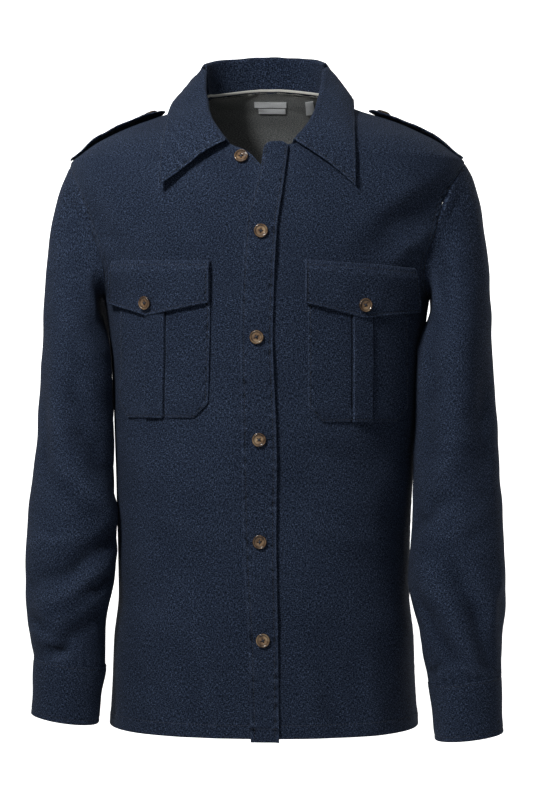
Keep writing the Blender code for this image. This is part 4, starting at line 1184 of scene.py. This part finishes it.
def build_tab(name):
    side = SIDES[name]
    u = spaced(0.115, 0.0030, fine=0.0009, reach=0.0060)
    v = spaced(0.040, 0.0030, fine=0.0009, reach=0.0060) * 2 - 1
    uu, vv = np.meshgrid(u, v, indexing="ij")
    base = tab_place(name, uu, vv, np.full(uu.shape, TAB_OUT))
    first, last = run_lengths(base, 1)
    root, tip = run_lengths(base, 0)
    relief = sewn_edge(first, root, 91, stitch=TAB_STITCH) + sewn_edge(last, root, 92, stitch=TAB_STITCH)
    relief = relief + sewn_edge(tip, first, 93, stitch=TAB_STITCH)
    relief = relief + 0.0006 * ripple(first, root, 0.04, 94 if side > 0 else 95)
    normals = grid_normals(base)
    normals = normals * np.sign(normals[..., 2:3])
    outer = base + normals * relief[..., None]
    faces_up = grid_normals(base)[len(u) // 2, len(v) // 2, 2] > 0
    made = add_sheet(f"shoulder_tab_{name}_cloth", outer, TWO_PLY, DENIM, flip=not faces_up)
    cloth("shoulder_tab_" + name)
    for distance in (first, last):
        sew_at("stitches_trim", outer, normals, TAB_STITCH, distance)
    sew_at("stitches_trim", outer, normals, TAB_STITCH, tip, False)


# Neck trims

def build_neck_trims():
    count = np.linspace(0.29, 0.71, 90)
    seat, outward, _ = collar_frames(count)
    rows = []
    for t in np.linspace(0, 1, 5):
        bulge = 0.0005 * math.sin(math.pi * t)
        rows.append(seat - outward * (0.0018 + bulge) + np.array((0.0, 0.0, 0.0005 + 0.003 * t)))
    made = add_sheet("neck_tape_cloth", np.array(rows), 0.0009, TAPE, flip=True)
    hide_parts("neck_tape")
    for name, x0, x1, low, high in LABELS:
        x, z = np.meshgrid(np.linspace(x0, x1, 24), np.linspace(low, high, 8))
        angle = angle_at_x(x + 1e-9, z, behind=True)
        lift = 0.0003 * ripple(x, z, 0.012, 97)
        outer = lay(angle, z, -0.0026 - lift)
        made = add_sheet(name + "_cloth", outer, 0.0005, LABEL)
        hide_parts(name)


# Buttons

HOLE_OFFSET = 0.0020
HOLE_RADIUS = 0.00095
HOLE_DEPTH = 0.0012
# A button's turned outline from below to the dish of its face, as shares of radius and height
BUTTON_PROFILE = (
    (0.55, 0.0), (0.80, 0.02), (0.93, 0.14), (0.99, 0.34), (1.0, 0.55), (0.985, 0.78),
    (0.95, 0.92), (0.90, 1.0), (0.84, 0.99), (0.79, 0.90), (0.75, 0.76), (0.71, 0.68))

button_threads = []


def add_button(name, seat, face, spin):
    """A turned horn button: rounded rim, dished face, four holes and its sewing thread."""
    face = unit(face)
    first = unit(np.cross(face, np.array((0.0, 0.0, 1.0))))
    second = np.cross(face, first)
    sides = 72
    turn = np.arange(sides) * 2 * np.pi / sides
    rings = list(BUTTON_PROFILE)
    rings += [(r, 0.68 - 0.10 * (1 - (r / 0.71) ** 2)) for r in np.linspace(0.67, 0.04, 24)]
    vertices = []
    for r, h in rings:
        x = r * BUTTON_RADIUS * np.cos(turn + spin)
        y = r * BUTTON_RADIUS * np.sin(turn + spin)
        dent = np.zeros(sides)
        if r < 0.68:
            for quarter in range(4):
                heading = spin + math.pi / 4 + quarter * math.pi / 2
                gap = np.hypot(x - HOLE_OFFSET * math.cos(heading), y - HOLE_OFFSET * math.sin(heading))
                dent = np.maximum(dent, np.clip(1 - (gap / HOLE_RADIUS) ** 6, 0, 1))
        lift = h * BUTTON_HEIGHT - HOLE_DEPTH * dent
        vertices.append(seat + x[:, None] * first + y[:, None] * second + face * (SEAM + lift)[:, None])
    vertices = np.concatenate(vertices)
    faces = [tuple(range(sides))[::-1], tuple(range(sides * (len(rings) - 1), sides * len(rings)))]
    for i in range(len(rings) - 1):
        for k in range(sides):
            j = (k + 1) % sides
            faces.append((i * sides + k, i * sides + j, (i + 1) * sides + j, (i + 1) * sides + k))
    mesh = bpy.data.meshes.new(name)
    mesh.from_pydata(vertices.tolist(), [], faces)
    mesh.shade_smooth()
    mesh.set_sharp_from_angle(angle=0.9)
    # Painted shade for the horn: darkest at the rim's outer edge and in the groove inside it
    rim = np.interp([r for r, _ in rings], (0.0, 0.55, 0.72, 0.85, 1.0), (1.0, 0.95, 0.25, 0.75, 0.10))
    turned = mesh.attributes.new("painted_shade_and_wear", "FLOAT", "POINT")
    turned.data.foreach_set("value", np.repeat(rim, sides).astype(np.float32))
    mesh.materials.append(HORN)
    made = add_object(name + "_horn", mesh)
    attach(made, "root")
    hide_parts(name)
    level = seat + face * (SEAM + 0.62 * BUTTON_HEIGHT)
    for k in (0, 1):
        a = spin + math.pi / 4 + k * math.pi / 2
        ends = [level + (first * math.cos(a + e) + second * math.sin(a + e)) * HOLE_OFFSET
                for e in (0, math.pi)]
        for shift in (-0.00035, 0.0, 0.00035):
            across = (first * -math.sin(a) + second * math.cos(a)) * shift
            button_threads.append((ends[0] + across, ends[1] + across, face))


def add_button_threads():
    """The crossed threads in the buttons' holes, as one mesh of bowed strands."""
    vertices = []
    faces = []
    radius = 0.00022
    for start, end, face in button_threads:
        side = unit(np.cross(end - start, face))
        base = len(vertices)
        for t in np.linspace(0, 1, 7):
            arch = 0.0006 * math.sin(math.pi * t) - 0.0008 * (abs(2 * t - 1) ** 6)
            middle = start + (end - start) * t + face * arch
            for k in range(5):
                turn = 2 * math.pi * k / 5
                vertices.append(middle + (side * math.cos(turn) + face * math.sin(turn)) * radius)
        for r in range(6):
            for k in range(5):
                j = (k + 1) % 5
                row = base + r * 5
                faces.append((row + k, row + j, row + 5 + j, row + 5 + k))
        faces.append(tuple(base + k for k in (4, 3, 2, 1, 0)))
        faces.append(tuple(base + 30 + k for k in range(5)))
    mesh = bpy.data.meshes.new("button_threads")
    mesh.from_pydata([tuple(v) for v in vertices], [], faces)
    mesh.shade_smooth()
    mesh.materials.append(THREAD)
    made = add_object("button_threads", mesh)
    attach(made, "root")


def build_buttons():
    draw = random.Random(5)
    places = []
    for z in FRONT_BUTTON_Z:
        places.append((float(curve(BAND, "free", z) + curve(BAND, "sewn", z)) / 2, z, BAND_OUT))
    places.append((TOP_BUTTON["x"], TOP_BUTTON["z"], 0.0))
    for number, (x, z, out) in enumerate(places, 1):
        angle = angle_at_x(x, z)
        face = normal_of(body, angle, z)
        add_button(f"button_front_{number}", lay(angle, z, out), face, draw.uniform(0, 6))
    for name, side in SIDES.items():
        shape = FLAP[name]
        z = shape["point_z"] + FLAP_BUTTON_UP
        angle = side * angle_at_x(shape["point"], z)
        face = normal_of(body, angle, z)
        add_button("button_flap_" + name, lay(angle, z, FLAP_BUTTON_OUT), face, draw.uniform(0, 6))
        u = np.array((0.84, 0.80, 0.88, 0.84, 0.84))
        v = np.array((0.0, 0.0, 0.0, -0.1, 0.1))
        seat, before, after, front, back = tab_place(name, u, v, np.full(5, TAB_OUT))
        face = unit(np.cross(after - before, back - front))
        add_button("button_tab_" + name, seat, face * np.sign(face[2]), draw.uniform(0, 6))
        low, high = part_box("button_cuff_" + name)
        middle = (np.array(low) + np.array(high)) / 2
        cuff = CUFF[name]
        ring_there = arm_ring(name, (cuff["top"] + cuff["bottom"]) / 2, cuff["tilt"])
        centre = mirror(ring_there.mean(axis=0), side)
        face = unit((middle - centre) * np.array((1.0, 1.0, 0.0)))
        add_button("button_cuff_" + name, middle - face * CUFF_BUTTON_SINK, face, draw.uniform(0, 6))


# Stage

FLOOR_Z = -0.98
STAGE_REACH = 8.0
PALE_FLOOR_END_Y = 0.6
GARMENT_MIDDLE = (0.0, 0.0, -0.35)
KEY = dict(place=(-0.75, -1.30, 0.85), aim=(-0.02, -0.1, -0.30), power=106.0, cone=50, softness=0.17)
# Broad lamps: name, place, size and power
BROAD_LAMPS = (
    ("fill", (0.4, -2.6, 0.3), 2.0, 3.0),
    ("top", (-0.2, 0.1, 1.8), 1.2, 8.0))
CAMERA = dict(distance=2.6, turn=3.5, height=-0.342, lens=100.9, sensor=36.0)


def add_sweep():
    """The floor and backdrop: its paper is lit only behind the garment, so no light comes from below."""
    papers = []
    for name, glow in (("pale_paper", 0.0), ("lit_paper", 1.0)):
        paper, tree, shader = shader_of(name)
        set_inputs(shader, {
            "Base Color": (0.92, 0.92, 0.92, 1.0), "Roughness": 0.9,
            "Emission Color": (1.0, 1.0, 1.0, 1.0), "Emission Strength": glow})
        papers.append(paper)
    bend = STAGE_REACH - 1.0
    profile = [(-STAGE_REACH, FLOOR_Z), (PALE_FLOOR_END_Y, FLOOR_Z), (bend, FLOOR_Z)]
    for step in range(1, 13):
        turn = math.pi / 2 * step / 12
        profile.append((bend + math.sin(turn), FLOOR_Z + 1 - math.cos(turn)))
    profile.append((STAGE_REACH, STAGE_REACH))
    vertices = [(x, y, z) for x in (-STAGE_REACH, STAGE_REACH) for y, z in profile]
    count = len(profile)
    faces = [(i, i + 1, count + i + 1, count + i) for i in range(count - 1)]
    mesh = bpy.data.meshes.new("sweep")
    mesh.from_pydata(vertices, [], faces)
    mesh.shade_smooth()
    for paper in papers:
        mesh.materials.append(paper)
    mesh.polygons.foreach_set("material_index", [0] + [1] * (count - 2))
    add_object("sweep", mesh)


def add_lights():
    world = bpy.data.worlds.new("studio")
    bpy.context.scene.world = world
    world.use_nodes = True
    set_inputs(world.node_tree.nodes["Background"], {"Color": (0.93, 0.96, 1.0, 1.0), "Strength": 0.10})
    light = bpy.data.lights.new("key", "SPOT")
    light.energy = KEY["power"]
    light.spot_size = math.radians(KEY["cone"])
    light.spot_blend = 1.0
    light.shadow_soft_size = KEY["softness"]
    aim_at(add_object("key", light), KEY["place"], KEY["aim"])
    for name, place, size, power in BROAD_LAMPS:
        light = bpy.data.lights.new(name, "AREA")
        light.shape = "DISK"
        light.size = size
        light.energy = power
        aim_at(add_object(name, light), place, GARMENT_MIDDLE)


def add_camera():
    """The camera of the photograph, a little to the wearer's left."""
    turn = math.radians(CAMERA["turn"])
    eye = bpy.data.cameras.new("photo_camera")
    eye.lens = CAMERA["lens"]
    eye.sensor_width = CAMERA["sensor"]
    camera = add_object("photo_camera", eye)
    place = (CAMERA["distance"] * math.sin(turn), -CAMERA["distance"] * math.cos(turn), CAMERA["height"])
    aim_at(camera, place, (0.0, 0.0, CAMERA["height"]))
    bpy.context.scene.camera = camera
    bpy.context.scene.view_settings.view_transform = "Standard"


def aim_at(thing, place, aim):
    thing.location = place
    direction = Vector(aim) - Vector(place)
    thing.rotation_euler = direction.to_track_quat("-Z", "Y").to_euler()


def build():
    build_front(1)
    build_front(-1)
    build_back()
    for name in SIDES:
        build_sleeve(name)
        build_cuff(name)
        build_pocket(name)
        build_flap(name)
        build_tab(name)
    build_band()
    build_collar()
    build_neck_trims()
    build_buttons()
    add_button_threads()
    for group in sorted(stitch_runs):
        add_stitches(group)
    add_sweep()
    add_lights()
    add_camera()


build()
